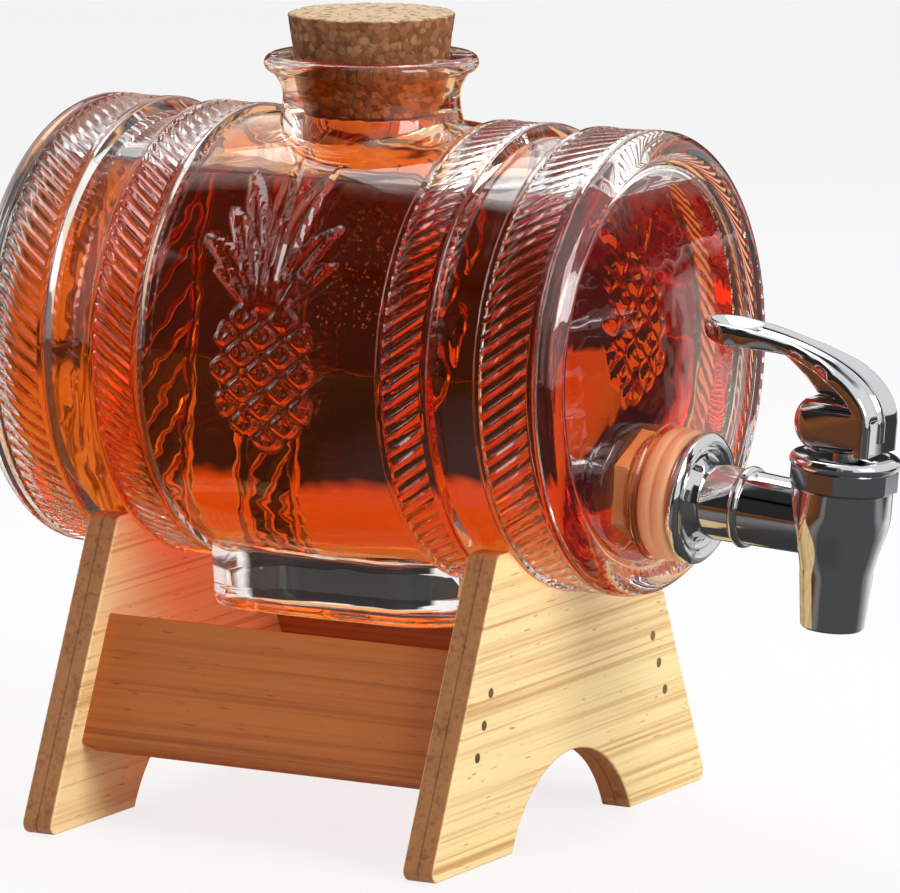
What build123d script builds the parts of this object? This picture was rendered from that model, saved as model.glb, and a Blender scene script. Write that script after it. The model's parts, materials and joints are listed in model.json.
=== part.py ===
from build123d import *
import math
import os

# Glass barrel drink dispenser on a bamboo cradle, with a cork and a chrome lever tap.
# Millimetres, +Z up. The barrel lies along X with its tap at +X.
# Lengths are worked out from the neck's axis, and the finished part is then moved
# so that its origin is at the middle of its footprint, on the floor.

# Bamboo cradle
panel_height = 74.0
panel_top_width = 74.0
panel_foot_width = 140.0
panel_thickness = 8.5
stand_length = 115.0
cradle_depth = 10.4
cradle_clearance = 0.3
arch_width = 60.0
arch_height = 20.0
panel_corner_radius = 2.5
wood_edge_radius = 0.8
rail_thickness = 8.5
rail_height = 33.0
rail_inset = 5.5
rail_middle_height = 38.0
brad_diameter = 1.5
brad_head_diameter = 2.4
brad_head_thickness = 0.8
brad_point_diameter = 0.5
brad_length = 22.0
brad_pitch = 8.0
brads_per_end = 3
brad_fit = 0.05

# Glass barrel
groove_radius = 52.6
groove_play = 1.8
barrel_slack = 0.6
hoop_height = 3.5
hoop_edge_radius = 1.2
hoop_bead_width = 2.3
hoop_bead_height = 0.2
inner_hoop_width = 14.4
outer_hoop_width = 16.6
reed_count = 90
reed_height = 0.8
reed_slope = 0.7
belly_edge_drop = 2.0
belly_bulge = 1.9
rim_radius = 5.2
rim_width = 7.6
end_dish_depth = 1.6
glass_wall = 4.2
end_wall = 5.0
cavity_corner_radius = 9.0
tap_spot_face = 0.3
neck_radius = 21.6
neck_height = 14.4
lip_radius = 26.2
lip_thickness = 4.2
lip_flare = 5.4
foot_length = 76.0
foot_width = 52.0
foot_corner_radius = 19.0
foot_drop = 9.4
foot_recess_depth = 2.5
foot_ring_width = 6.0

# Pineapple moulded on both sides of the belly, in lengths along the barrel and up round it
pineapple_shift = 2.0
fruit_width = 26.4
fruit_height = 36.0
fruit_relief = 0.4
scale_width = 11.0
scale_height = 8.6
scale_share = 0.84
scale_relief = 1.2
leaf_relief = 1.0
leaf_root = 15.5
leaf_width = 5.6
leaf_root_spread = 0.2
leaf_middle_spread = 0.45
leaf_middle_rise = 0.55
leaf_tips = ((-3, 57), (10, 55), (-14, 52), (-15.5, 41), (-20.5, 33), (-15, 24.5), (19, 38), (19.5, 27.5))

# Cork
cork_top_radius = 20.4
cork_taper = 8.0
cork_above_lip = 10.2
cork_in_neck = 15.0
cork_clearance = 0.15
cork_edge_radius = 1.0

# Tap, along its own axes: u out of the barrel's end, w up the valve
tap_drop = 30.6
tap_tilt = 4.5
tap_boss_margin = 1.0
tap_hole_clearance = 0.8
shank_radius = 7.9
shank_fit = 0.1
gasket_radius = 16.0
gasket_thickness = 8.0
gasket_edge_radius = 2.0
flange_radius = 16.0
flange_thickness = 3.4
flange_dish = 1.0
pipe_root_flare = 0.4
pipe_root_radius = 9.2
pipe_tip_radius = 8.3
pipe_bore_radius = 5.0
bead_position = 22.5
bead_radius = 9.9
bead_width = 2.6
valve_reach = 47.0
inner_gasket_radius = 13.0
inner_gasket_thickness = 3.0
washer_radius = 13.5
washer_thickness = 1.5
nut_width = 24.0
nut_thickness = 7.0
shank_past_nut = 2.0

# Valve
spout_drop = 25.2
spout_radius = 7.6
spout_neck_radius = 8.7
spout_neck_drop = 12.5
valve_body_radius = 11.9
shoulder_height = 9.0
chamber_radius = 8.6
seat_drop = 6.0
seat_radius = 4.4
outlet_radius = 6.0
body_neck_radius = 10.4
body_neck_height = 4.6
bonnet_fit = 0.1
bonnet_flat_count = 12
bonnet_flat_radius = 12.9
bonnet_flat_height = 5.0
bonnet_lip_radius = 13.3
bonnet_lip_height = 3.4
seal_thickness = 0.8
stem_seal_thickness = 1.7
stem_radius = 3.0
stem_fit = 0.1
stem_flange_radius = 6.2
stem_flange_thickness = 1.2
plug_radius = 6.8
plug_thickness = 4.0
plug_lift_off = 0.1
plug_socket_depth = 2.6
spring_radius = 4.7
spring_wire = 1.0
spring_turns = 5
spring_end_gap = 0.1

# Lever, measured from its pin
pin_radius = 1.2
pin_fit = 0.05
pin_recess = 0.2
stem_past_pin = 3.0
cam_radius = 7.0
cam_offset = 4.0
cam_clearance = 0.3
cam_top = 5.4
lever_width = 17.0
lever_waist = 11.4
lever_waist_reach = 15.0
lever_tip_radius = 7.2
lever_reach = 39.0
lever_rise = 19.7
lever_front = 9.2
lever_shoulder_reach = 0.4
lever_shoulder_rise = 12.9
lever_strap = 2.6
lever_column = 4.0
lever_skirt = 6.4
lever_slot_clearance = 0.25
lever_slot_margin = 1.8
pad_length = 12.0
pad_thickness = 4.4
pad_dimple_depth = 1.4
pad_dimple_length = 10.0
rib_width = 4.0
rib_depth = 2.2


def ring(inner, outer, low, high):
    """A plain ring about Z, from height low to height high."""
    tube = Pos(0, 0, low) * extrude(Circle(outer), high - low)
    return tube - Pos(0, 0, low) * extrude(Circle(inner), high - low)


def turned(points, axis=Axis.Z):
    """A solid turned about Z from (radius, height) points, or about X from (length, radius) points."""
    plane = Plane.XZ if axis == Axis.Z else Plane.XY
    return revolve(plane * make_face(Polyline(*points, close=True)), axis)


# Places that several pieces share
panel_middle = (stand_length - panel_thickness) / 2
panel_inner_face = stand_length / 2 - panel_thickness
cradle_radius = groove_radius + cradle_clearance
axis_height = panel_height - cradle_depth + cradle_radius
barrel_shift = groove_play - barrel_slack
groove_width = panel_thickness + 2 * groove_play
groove_start = panel_middle - groove_width / 2
groove_end = panel_middle + groove_width / 2
hoop_radius = groove_radius + hoop_height
hoop_start = groove_start - inner_hoop_width
hoop_end = groove_end + outer_hoop_width
belly_edge_radius = hoop_radius - belly_edge_drop
belly_radius = belly_edge_radius + belly_bulge
rim_end = hoop_end + rim_radius
dish_radius = hoop_radius - rim_width
dish_edge = rim_end - end_dish_depth

# The end is a shallow dome whose slope, at the tap's hole, is the tap's tilt.
dome_radius = tap_drop / math.sin(math.radians(tap_tilt))
dome_centre = dish_edge - math.sqrt(dome_radius**2 - dish_radius**2)
dome_top = dome_centre + dome_radius
tap_hole_x = dome_centre + dome_radius * math.cos(math.radians(tap_tilt))

barrel_place = Pos(barrel_shift, 0, axis_height)
tap_in_barrel = Pos(tap_hole_x, 0, -tap_drop) * Rot(0, tap_tilt, 0)
tap_place = barrel_place * tap_in_barrel


def cradle_panel():
    """One end panel of the cradle, with its face at x = 0 and its thickness along +X."""
    outline = Polyline(
        (-panel_foot_width / 2, 0),
        (panel_foot_width / 2, 0),
        (panel_top_width / 2, panel_height),
        (-panel_top_width / 2, panel_height),
        close=True,
    )
    arch_radius = (arch_width**2 / 4 + arch_height**2) / (2 * arch_height)
    board = make_face(outline)
    board = fillet(board.vertices(), panel_corner_radius)
    board -= Pos(0, arch_height - arch_radius) * Circle(arch_radius)
    board -= Pos(0, axis_height) * Circle(cradle_radius)
    panel = extrude(Plane.YZ * board, panel_thickness)
    faces = panel.faces().sort_by(Axis.X)
    return fillet(faces[0].edges() + faces[-1].edges(), wood_edge_radius)


# The rails lean with the slanted edges of the panels.
edge_run = (panel_foot_width - panel_top_width) / 2
rail_lean = math.degrees(math.atan2(edge_run, panel_height))
edge_y = panel_top_width / 2 + edge_run * (panel_height - rail_middle_height) / panel_height
rail_depth = rail_inset + rail_thickness / 2
rail_y = edge_y - rail_depth * math.cos(math.radians(rail_lean))
rail_z = rail_middle_height - rail_depth * math.sin(math.radians(rail_lean))


def rail_place(side):
    """The place of a rail's middle: side is -1 for the near rail and 1 for the far one."""
    return Pos(0, side * rail_y, rail_z) * Rot(side * rail_lean, 0, 0)


def brad(fit=0.0):
    """One brad, or its hole, with its head's top at x = 0 and its point towards -X."""
    head = brad_head_diameter / 2 + fit
    shank = brad_diameter / 2 + fit
    return turned(
        (
            (0, 0),
            (0, head),
            (-brad_head_thickness, shank),
            (fit - brad_length + brad_diameter, shank),
            (-brad_length - fit, brad_point_diameter / 2 + fit),
            (-brad_length - fit, 0),
        ),
        Axis.X,
    )


def brad_places():
    """Where the brads go: through each panel into each end of both rails."""
    places = []
    for side in (-1, 1):
        for end in (-1, 1):
            turn = Rot(0, 0, 0) if end == 1 else Rot(0, 0, 180)
            for step in range(brads_per_end):
                along = (step - (brads_per_end - 1) / 2) * brad_pitch
                places.append(rail_place(side) * Pos(end * stand_length / 2, 0, along) * turn)
    return places


brads = [place * brad() for place in brad_places()]
brad_holes = [place * brad(brad_fit) for place in brad_places()]
front_panel = Pos(panel_inner_face, 0, 0) * cradle_panel()
rear_panel = Pos(-stand_length / 2, 0, 0) * cradle_panel()
rail = Box(2 * panel_inner_face, rail_thickness, rail_height)
rail = fillet(rail.edges().filter_by(Axis.X), wood_edge_radius)
near_rail = rail_place(-1) * rail
far_rail = rail_place(1) * rail
for hole in brad_holes:
    if hole.center().X > 0:
        front_panel -= hole
    else:
        rear_panel -= hole
    if hole.center().Y < 0:
        near_rail -= hole
    else:
        far_rail -= hole


def corner(x, radius, size, start):
    """A quarter-round corner of the barrel's profile, turning clockwise from the start angle."""
    return CenterArc((x, radius), size, start, -90)


def dome_arc(radius):
    """The barrel end's dome, or its inside, from the axis outwards to the given dome radius."""
    return CenterArc((dome_centre, 0), radius, 0, math.degrees(math.asin(dish_radius / radius)))


reed_top = hoop_radius - hoop_bead_height
reed_bottom = reed_top - reed_height
hoop_floor = reed_bottom - hoop_bead_height


def hoop_top(start, end):
    """A hoop's outline from one edge to the other: two beads, and a floor that the reeds cover."""
    floor_start = start + hoop_bead_width
    floor_end = end - hoop_bead_width
    return [
        Line((start + hoop_edge_radius, hoop_radius), (floor_start, hoop_radius)),
        Line((floor_start, hoop_radius), (floor_start, hoop_floor)),
        Line((floor_start, hoop_floor), (floor_end, hoop_floor)),
        Line((floor_end, hoop_floor), (floor_end, hoop_radius)),
    ]


def barrel_outside():
    """The barrel without its neck, foot and holes: belly, four hoops and two domed ends."""
    edge = hoop_edge_radius
    rim_crest = hoop_radius - rim_radius
    half = [
        Line((hoop_start, belly_edge_radius), (hoop_start, hoop_radius - edge)),
        corner(hoop_start + edge, hoop_radius - edge, edge, 180),
        *hoop_top(hoop_start, groove_start),
        Line((groove_start - hoop_bead_width, hoop_radius), (groove_start - edge, hoop_radius)),
        corner(groove_start - edge, hoop_radius - edge, edge, 90),
        Line((groove_start, hoop_radius - edge), (groove_start, groove_radius)),
        Line((groove_start, groove_radius), (groove_end, groove_radius)),
        Line((groove_end, groove_radius), (groove_end, hoop_radius - edge)),
        corner(groove_end + edge, hoop_radius - edge, edge, 180),
        *hoop_top(groove_end, hoop_end),
        Line((hoop_end - hoop_bead_width, hoop_radius), (hoop_end, hoop_radius)),
        corner(hoop_end, rim_crest, rim_radius, 90),
        Line((rim_end, rim_crest), (dish_edge, dish_radius)),
        dome_arc(dome_radius),
    ]
    belly = ThreePointArc(
        (-hoop_start, belly_edge_radius), (0, belly_radius), (hoop_start, belly_edge_radius)
    )
    axis_line = Line((-dome_top, 0), (dome_top, 0))
    other_half = [mirror(curve, about=Plane.YZ) for curve in half]
    return revolve(make_face([belly, axis_line] + half + other_half), Axis.X)


def reed_section(x, start):
    """The toothed section of a hoop at x, turned by the slope of reeds that start at the given place."""
    turn = reed_slope * (x - start) / hoop_radius
    points = []
    for number in range(2 * reed_count):
        angle = math.pi * number / reed_count + turn
        radius = reed_bottom if number % 2 else reed_top
        points.append((-radius * math.cos(angle), radius * math.sin(angle)))
    return Plane.YZ.offset(x) * make_face(Polyline(*points, close=True))


def reeded_band(start, end):
    """A hoop's ring of sloping reeds, which runs into the bead at each edge."""
    low = start + hoop_bead_width / 2
    high = end - hoop_bead_width / 2
    return loft([reed_section(x, start) for x in (low, (low + high) / 2, high)], ruled=True)


def swollen_belly(relief):
    """The belly between its hoops, as a solid that stands a relief's height proud of it."""
    top = ThreePointArc(
        (-hoop_start, belly_edge_radius + relief),
        (0, belly_radius + relief),
        (hoop_start, belly_edge_radius + relief),
    )
    sides = Polyline(top @ 1, (hoop_start, 0), (-hoop_start, 0), top @ 0)
    return revolve(make_face([top, sides]), Axis.X)


def on_side(x, up):
    """A point of the belly's side as the mould's parting face sees it, from a length up round the belly."""
    return (x, belly_radius * math.sin(up / belly_radius))


def fruit_scales():
    """The fruit's scales: diamonds in sloping rows, cut off at the fruit's outline."""
    rows = math.ceil(fruit_width / scale_width + fruit_height / scale_height)
    half_width = scale_share * scale_width / 2
    half_height = scale_share * scale_height / 2
    scales = []
    for row in range(-rows, rows + 1):
        for column in range(-rows, rows + 1):
            x = scale_width * (row + column) / 2
            up = scale_height * (row - column) / 2
            if math.hypot(2 * x / fruit_width, 2 * up / fruit_height) < 1:
                diamond = Polyline(
                    on_side(x + half_width, up),
                    on_side(x, up + half_height),
                    on_side(x - half_width, up),
                    on_side(x, up - half_height),
                    close=True,
                )
                scales.append(make_face(diamond))
    return (Sketch() + scales) & Ellipse(fruit_width / 2, fruit_height / 2)


def crown_leaf(tip_x, tip_up):
    """One pointed leaf of the crown, bent outwards from the fruit's top."""
    lean = tip_x - pineapple_shift
    root = Vector(leaf_root_spread * lean, leaf_root)
    middle = Vector(leaf_middle_spread * lean, leaf_root + leaf_middle_rise * (tip_up - leaf_root))
    tip = Vector(lean, tip_up)
    across = (tip - root).normalized().rotate(Axis.Z, -90) * (leaf_width / 2)
    sides = []
    for side in (1, -1):
        low = root + across * (side / 2)
        wide = middle + across * side
        sides.append(Spline(on_side(low.X, low.Y), on_side(wide.X, wide.Y), on_side(tip.X, tip.Y)))
    return make_face(sides + [Line(sides[0] @ 0, sides[1] @ 0)])


def moulded_relief(sketch, relief):
    """A sketch of the near side's ornament, raised from the belly by the given relief."""
    return extrude(Plane.XZ * Pos(pineapple_shift, 0) * sketch, 2 * belly_radius) & swollen_belly(relief)


def pineapple():
    """The pineapple on the near side: fruit, scales and crown."""
    crown = Sketch() + [crown_leaf(x, up) for x, up in leaf_tips]
    ornament = moulded_relief(Ellipse(fruit_width / 2, fruit_height / 2), fruit_relief)
    ornament += moulded_relief(fruit_scales(), scale_relief)
    return ornament + moulded_relief(crown, leaf_relief)


def barrel_cavity():
    """The space for the drink: a smooth bulge with rounded corners and domed ends."""
    inner_dome = dome_radius - end_wall
    wall_radius = groove_radius - glass_wall
    end_x = dome_centre + math.sqrt(inner_dome**2 - wall_radius**2)
    bulge = ThreePointArc(
        (-groove_end, wall_radius), (0, belly_radius - glass_wall), (groove_end, wall_radius)
    )
    dome_angle = math.degrees(math.asin(wall_radius / inner_dome))
    half = [
        Line((groove_end, wall_radius), (end_x, wall_radius)),
        CenterArc((dome_centre, 0), inner_dome, 0, dome_angle),
    ]
    axis_line = Line((dome_centre + inner_dome, 0), (-dome_centre - inner_dome, 0))
    other_half = [mirror(curve, about=Plane.YZ) for curve in half]
    profile = make_face([bulge, axis_line] + half + other_half)
    corners = [v for v in profile.vertices() if abs(abs(v.X) - end_x) < 0.01 and v.Y > wall_radius / 2]
    return revolve(fillet(corners, cavity_corner_radius), Axis.X)


# Heights above the barrel's axis
lip_top = belly_radius + neck_height
cork_slope = math.tan(math.radians(cork_taper))
cork_lip_radius = cork_top_radius - cork_above_lip * cork_slope
cork_end_radius = cork_lip_radius - cork_in_neck * cork_slope
neck_root = groove_radius - glass_wall
foot_bottom = -belly_radius - foot_drop


def neck():
    """The neck with its flared, round-edged lip, before its bore is cut."""
    lip_low = lip_top - lip_thickness
    round_edge = lip_thickness / 2
    profile = [
        Line((0, 0), (neck_radius, 0)),
        Line((neck_radius, 0), (neck_radius, lip_low - lip_flare)),
        Line((neck_radius, lip_low - lip_flare), (lip_radius - round_edge, lip_low)),
        CenterArc((lip_radius - round_edge, lip_low + round_edge), round_edge, -90, 180),
        Line((lip_radius - round_edge, lip_top), (0, lip_top)),
        Line((0, lip_top), (0, 0)),
    ]
    return revolve(Plane.XZ * make_face(profile), Axis.Z)


def neck_bore():
    """The bore that the cork plugs, and the way down into the barrel."""
    mouth = cork_lip_radius + cork_clearance
    throat = cork_end_radius + cork_clearance
    throat_height = lip_top - cork_in_neck
    past = lip_thickness
    return turned(
        (
            (0, 0),
            (throat, 0),
            (throat, throat_height),
            (mouth, lip_top),
            (mouth + past * cork_slope, lip_top + past),
            (0, lip_top + past),
        )
    )


def foot():
    """The flat foot moulded under the belly, with a shallow recess in its underside."""
    pad = RectangleRounded(foot_length, foot_width, foot_corner_radius)
    recess = RectangleRounded(
        foot_length - 2 * foot_ring_width,
        foot_width - 2 * foot_ring_width,
        foot_corner_radius - foot_ring_width,
    )
    block = extrude(pad, -foot_bottom - neck_root + glass_wall)
    block -= extrude(recess, foot_recess_depth)
    return Pos(0, 0, foot_bottom) * block


# Lengths along the tap's axis, from the glass outwards
hole_wall = end_wall - tap_spot_face
shank_end = -(hole_wall + inner_gasket_thickness + washer_thickness + nut_thickness + shank_past_nut)
boss_radius = gasket_radius + tap_boss_margin


def along_tap(shape, start):
    """Turn a shape made along Z so that it runs out along the tap, from the given place."""
    return Pos(start, 0, 0) * Rot(0, 90, 0) * shape


tap_boss = tap_in_barrel * along_tap(extrude(Circle(boss_radius), hole_wall / 2), -hole_wall / 2)
nut_room = tap_in_barrel * along_tap(
    extrude(Circle(washer_radius + tap_boss_margin), -shank_end), shank_end - hole_wall
)
tap_hole = tap_in_barrel * along_tap(
    extrude(Circle(shank_radius + tap_hole_clearance), 3 * end_wall), -2 * end_wall
)
near_ornament = pineapple()
tap_side_reeds = [reeded_band(hoop_start, groove_start), reeded_band(groove_end, hoop_end)]
glass = barrel_outside() + neck() + foot() + tap_boss
glass += tap_side_reeds + [mirror(band, about=Plane.YZ) for band in tap_side_reeds]
glass += [near_ornament, mirror(near_ornament, about=Plane.XZ)]
glass -= barrel_cavity()
glass -= neck_bore()
glass -= nut_room
glass -= tap_hole
glass_barrel = barrel_place * glass

cork = turned(
    (
        (0, lip_top - cork_in_neck),
        (cork_end_radius, lip_top - cork_in_neck),
        (cork_top_radius, lip_top + cork_above_lip),
        (0, lip_top + cork_above_lip),
    )
)
cork = fillet(cork.edges().filter_by(GeomType.CIRCLE), cork_edge_radius)
cork_stopper = barrel_place * cork


# Seals and nut on the tap's shank
shank_bore = shank_radius + shank_fit
gasket = ring(shank_bore, gasket_radius, 0, gasket_thickness)
gasket_rims = gasket.edges().filter_by(GeomType.CIRCLE).group_by(SortBy.RADIUS)[-1]
tap_gasket = tap_place * along_tap(fillet(gasket_rims, gasket_edge_radius), 0)
inner_gasket_end = -hole_wall - inner_gasket_thickness
washer_end = inner_gasket_end - washer_thickness
nut_end = washer_end - nut_thickness
inner_gasket = tap_place * along_tap(
    ring(shank_bore, inner_gasket_radius, 0, inner_gasket_thickness), inner_gasket_end
)
shank_washer = tap_place * along_tap(ring(shank_bore, washer_radius, 0, washer_thickness), washer_end)
nut = extrude(RegularPolygon(nut_width / 2, 6, major_radius=False) - Circle(shank_bore), nut_thickness)
lock_nut = tap_place * along_tap(nut, nut_end)


def pipe_radius(reach):
    """The outer radius of the tapered pipe at a distance from the glass."""
    root = gasket_thickness + flange_thickness
    share = (reach - root) / (valve_reach - root)
    return pipe_root_radius + (pipe_tip_radius - pipe_root_radius) * share


def shank_and_pipe():
    """The shank, the dished flange and the tapered pipe with its bead."""
    flange_face = gasket_thickness + flange_thickness
    rim = flange_thickness / 2
    bead_low = bead_position - bead_width / 2
    bead_high = bead_position + bead_width / 2
    root_flare = flange_dish + pipe_root_flare
    profile = [
        Line((shank_end, 0), (shank_end, shank_radius)),
        Line((shank_end, shank_radius), (gasket_thickness, shank_radius)),
        Line((gasket_thickness, shank_radius), (gasket_thickness, flange_radius - rim)),
        CenterArc((gasket_thickness + rim, flange_radius - rim), rim, 180, -180),
        Line((flange_face, flange_radius - rim), (flange_face - flange_dish, flange_radius - 2 * rim)),
        Line(
            (flange_face - flange_dish, flange_radius - 2 * rim),
            (flange_face - flange_dish, pipe_root_radius + root_flare),
        ),
        Line(
            (flange_face - flange_dish, pipe_root_radius + root_flare),
            (flange_face + pipe_root_flare, pipe_radius(flange_face + pipe_root_flare)),
        ),
        Line(
            (flange_face + pipe_root_flare, pipe_radius(flange_face + pipe_root_flare)),
            (bead_low, pipe_radius(bead_low)),
        ),
        ThreePointArc(
            (bead_low, pipe_radius(bead_low)),
            (bead_position, bead_radius),
            (bead_high, pipe_radius(bead_high)),
        ),
        Line((bead_high, pipe_radius(bead_high)), (valve_reach, pipe_tip_radius)),
        Line((valve_reach, pipe_tip_radius), (valve_reach, 0)),
        Line((valve_reach, 0), (shank_end, 0)),
    ]
    return revolve(make_face(profile), Axis.X)


# Heights up the valve, from the pipe's axis
body_top = shoulder_height + body_neck_height
bonnet_ceiling = body_top + seal_thickness
bonnet_top = shoulder_height + bonnet_flat_height + bonnet_lip_height
plug_bottom = -seat_drop + plug_lift_off
plug_top = plug_bottom + plug_thickness
stem_flange_top = plug_top + stem_flange_thickness
pin_level = bonnet_top + cam_clearance + cam_radius
in_valve = Pos(valve_reach, 0, 0)


def valve_body():
    """The valve's outside: a round chamber that narrows to the spout, with a neck for the bonnet."""
    profile = [
        Line((0, -spout_drop), (spout_radius, -spout_drop)),
        Line((spout_radius, -spout_drop), (spout_neck_radius, -spout_neck_drop)),
        Spline(
            (spout_neck_radius, -spout_neck_drop),
            (valve_body_radius, shoulder_height / 2),
            tangents=((0.08, 1), (0.04, 1)),
        ),
        Line((valve_body_radius, shoulder_height / 2), (valve_body_radius, shoulder_height)),
        Line((valve_body_radius, shoulder_height), (body_neck_radius, shoulder_height)),
        Line((body_neck_radius, shoulder_height), (body_neck_radius, body_top)),
        Line((body_neck_radius, body_top), (0, body_top)),
        Line((0, body_top), (0, -spout_drop)),
    ]
    return revolve(Plane.XZ * make_face(profile), Axis.Z)


def valve_bore():
    """The valve's inside: chamber, flat seat and the outlet that widens down the spout."""
    return turned(
        (
            (0, -spout_drop - spout_radius),
            (outlet_radius, -spout_drop - spout_radius),
            (outlet_radius, -spout_drop),
            (seat_radius, -seat_drop - seat_radius),
            (seat_radius, -seat_drop),
            (chamber_radius, -seat_drop),
            (chamber_radius, body_top + seal_thickness),
            (0, body_top + seal_thickness),
        )
    )


body = shank_and_pipe() + in_valve * valve_body()
body -= in_valve * valve_bore()
body -= along_tap(extrude(Circle(pipe_bore_radius), valve_reach - shank_end), shank_end)
tap_body = tap_place * body


def bonnet_cap():
    """The bonnet: a skirt with flats, a round lip, and a gland for the stem's seal."""
    flats = RegularPolygon(bonnet_flat_radius, bonnet_flat_count, major_radius=False)
    cap = Pos(0, 0, shoulder_height) * extrude(flats, bonnet_flat_height)
    lip = extrude(Circle(bonnet_lip_radius), bonnet_lip_height)
    lip = fillet(lip.edges(), bonnet_lip_height / 3)
    cap += Pos(0, 0, shoulder_height + bonnet_flat_height) * lip
    gland_low = (bonnet_ceiling + bonnet_top - stem_seal_thickness) / 2
    stem_hole = stem_radius + stem_fit
    cap -= turned(
        (
            (0, 0),
            (body_neck_radius + bonnet_fit, 0),
            (body_neck_radius + bonnet_fit, bonnet_ceiling),
            (stem_hole, bonnet_ceiling),
            (stem_hole, gland_low),
            (stem_hole + stem_seal_thickness, gland_low),
            (stem_hole + stem_seal_thickness, gland_low + stem_seal_thickness),
            (stem_hole, gland_low + stem_seal_thickness),
            (stem_hole, bonnet_top + stem_hole),
            (0, bonnet_top + stem_hole),
        )
    )
    return cap


bonnet = tap_place * in_valve * bonnet_cap()
bonnet_seal = tap_place * in_valve * ring(chamber_radius, body_neck_radius, body_top, bonnet_ceiling)
seal_wire = stem_seal_thickness / 2
stem_seal = tap_place * in_valve * (
    Pos(0, 0, (bonnet_ceiling + bonnet_top) / 2) * Torus(stem_radius + stem_fit + seal_wire, seal_wire)
)

# Stem and plug
stem_end = plug_top - plug_socket_depth
stem_tip = pin_level + stem_past_pin
stem = Pos(0, 0, stem_end) * extrude(Circle(stem_radius), stem_tip - stem_end)
stem += Pos(0, 0, plug_top) * extrude(Circle(stem_flange_radius), stem_flange_thickness)
stem = fillet(stem.edges().sort_by(Axis.Z)[-1], stem_radius / 2)
stem -= Pos(0, 0, pin_level) * Rot(90, 0, 0) * Cylinder(pin_radius + pin_fit, 4 * stem_radius)
plug = Pos(0, 0, plug_bottom) * extrude(Circle(plug_radius), plug_thickness)
plug -= Pos(0, 0, stem_end) * extrude(Circle(stem_radius), plug_socket_depth)
valve_stem = tap_place * in_valve * stem
valve_plug = tap_place * in_valve * plug


def spring_point(turn):
    """A point on the spring's middle line, after a number of turns."""
    low = stem_flange_top + spring_end_gap + spring_wire / 2
    high = bonnet_ceiling - spring_end_gap - spring_wire / 2
    angle = 2 * math.pi * turn
    height = low + (high - low) * turn / spring_turns
    return Vector(spring_radius * math.cos(angle), spring_radius * math.sin(angle), height)


def coil_spring():
    """The spring: one wire wound round the stem, in arcs of a quarter turn."""
    quarters = 4 * spring_turns
    arcs = [
        ThreePointArc(spring_point(i / 4), spring_point((i + 0.5) / 4), spring_point((i + 1) / 4))
        for i in range(quarters)
    ]
    path = Wire(arcs)
    return sweep(Plane(origin=path @ 0, z_dir=path % 0) * Circle(spring_wire / 2), path)


def spring_gap():
    """The least distance between one turn of the spring's wire and the next."""
    steps = 24
    points = [spring_point(i / steps) for i in range(steps * spring_turns + 1)]
    apart = [(p - q).length for i, p in enumerate(points) for q in points[i + steps // 2:]]
    return min(apart) - spring_wire


return_spring = tap_place * in_valve * coil_spring()


def lever_curve(depth, column):
    """A line along the lever, a depth under its top and a column's depth behind its front."""
    slope = math.hypot(lever_front, lever_shoulder_rise)
    return Spline(
        (-lever_reach, lever_rise - depth),
        (
            lever_shoulder_reach - depth * lever_front / slope,
            lever_shoulder_rise - depth * lever_shoulder_rise / slope,
        ),
        (lever_front - column, 0),
        tangents=((1, 0), (0, -1)),
    )


def lever_slab(depth, column, width):
    """The lever's strap and column as a slab of the given depth and width."""
    top = lever_curve(0, 0)
    under = lever_curve(depth, column)
    profile = [
        top,
        under,
        Line((-lever_reach, lever_rise), (-lever_reach, lever_rise - depth)),
        Line((lever_front, 0), (lever_front, -lever_skirt)),
        Line((lever_front, -lever_skirt), (lever_front - column, -lever_skirt)),
        Line((lever_front - column, -lever_skirt), (lever_front - column, 0)),
    ]
    return extrude(Plane.XZ * make_face(profile), width / 2, both=True)


def lever_pad():
    """The thumb pad: thicker than the strap, and blended into it underneath."""
    tip = -lever_reach
    under = ThreePointArc(
        (tip, lever_rise - lever_strap / 2),
        (tip + pad_length * 2 / 3, lever_rise - pad_thickness),
        (tip + 2 * pad_length, lever_rise - lever_strap),
    )
    profile = [
        under,
        Line((tip, lever_rise - lever_strap / 2), (tip, lever_rise)),
        Line((tip, lever_rise), (tip + 2 * pad_length, lever_rise - lever_strap)),
    ]
    return extrude(Plane.XZ * make_face(profile), lever_tip_radius, both=True)


def lever_outline():
    """The lever seen from above: a waisted strap with a round tip and a broad front, as a tall block."""
    tip = -lever_reach + lever_tip_radius
    half = lever_width / 2
    side = Spline(
        (tip, lever_tip_radius),
        (-lever_waist_reach, lever_waist / 2),
        (0, half),
        tangents=((1, 0), (1, 0)),
    )
    front = Polyline((0, half), (lever_front, half), (lever_front, -half), (0, -half))
    back = Line((tip, lever_tip_radius), (tip, -lever_tip_radius))
    seen = make_face([side, front, back, mirror(side, about=Plane.XZ)])
    seen += Pos(tip, 0) * Circle(lever_tip_radius)
    return extrude(seen, 2 * lever_rise, both=True)


def lever_cam():
    """The half-moon cam under the strap, flat on top, that rides on the bonnet."""
    moon = Pos(-cam_offset, 0) * Circle(cam_radius)
    moon += Pos(-cam_offset / 2 + lever_front / 2 - lever_column / 2, 0) * Rectangle(
        lever_front - lever_column + cam_offset, 2 * cam_top
    )
    moon &= Pos(0, cam_top - cam_radius) * Rectangle(4 * cam_radius, 2 * cam_radius)
    return extrude(Plane.XZ * moon, lever_width / 2, both=True)


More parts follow.
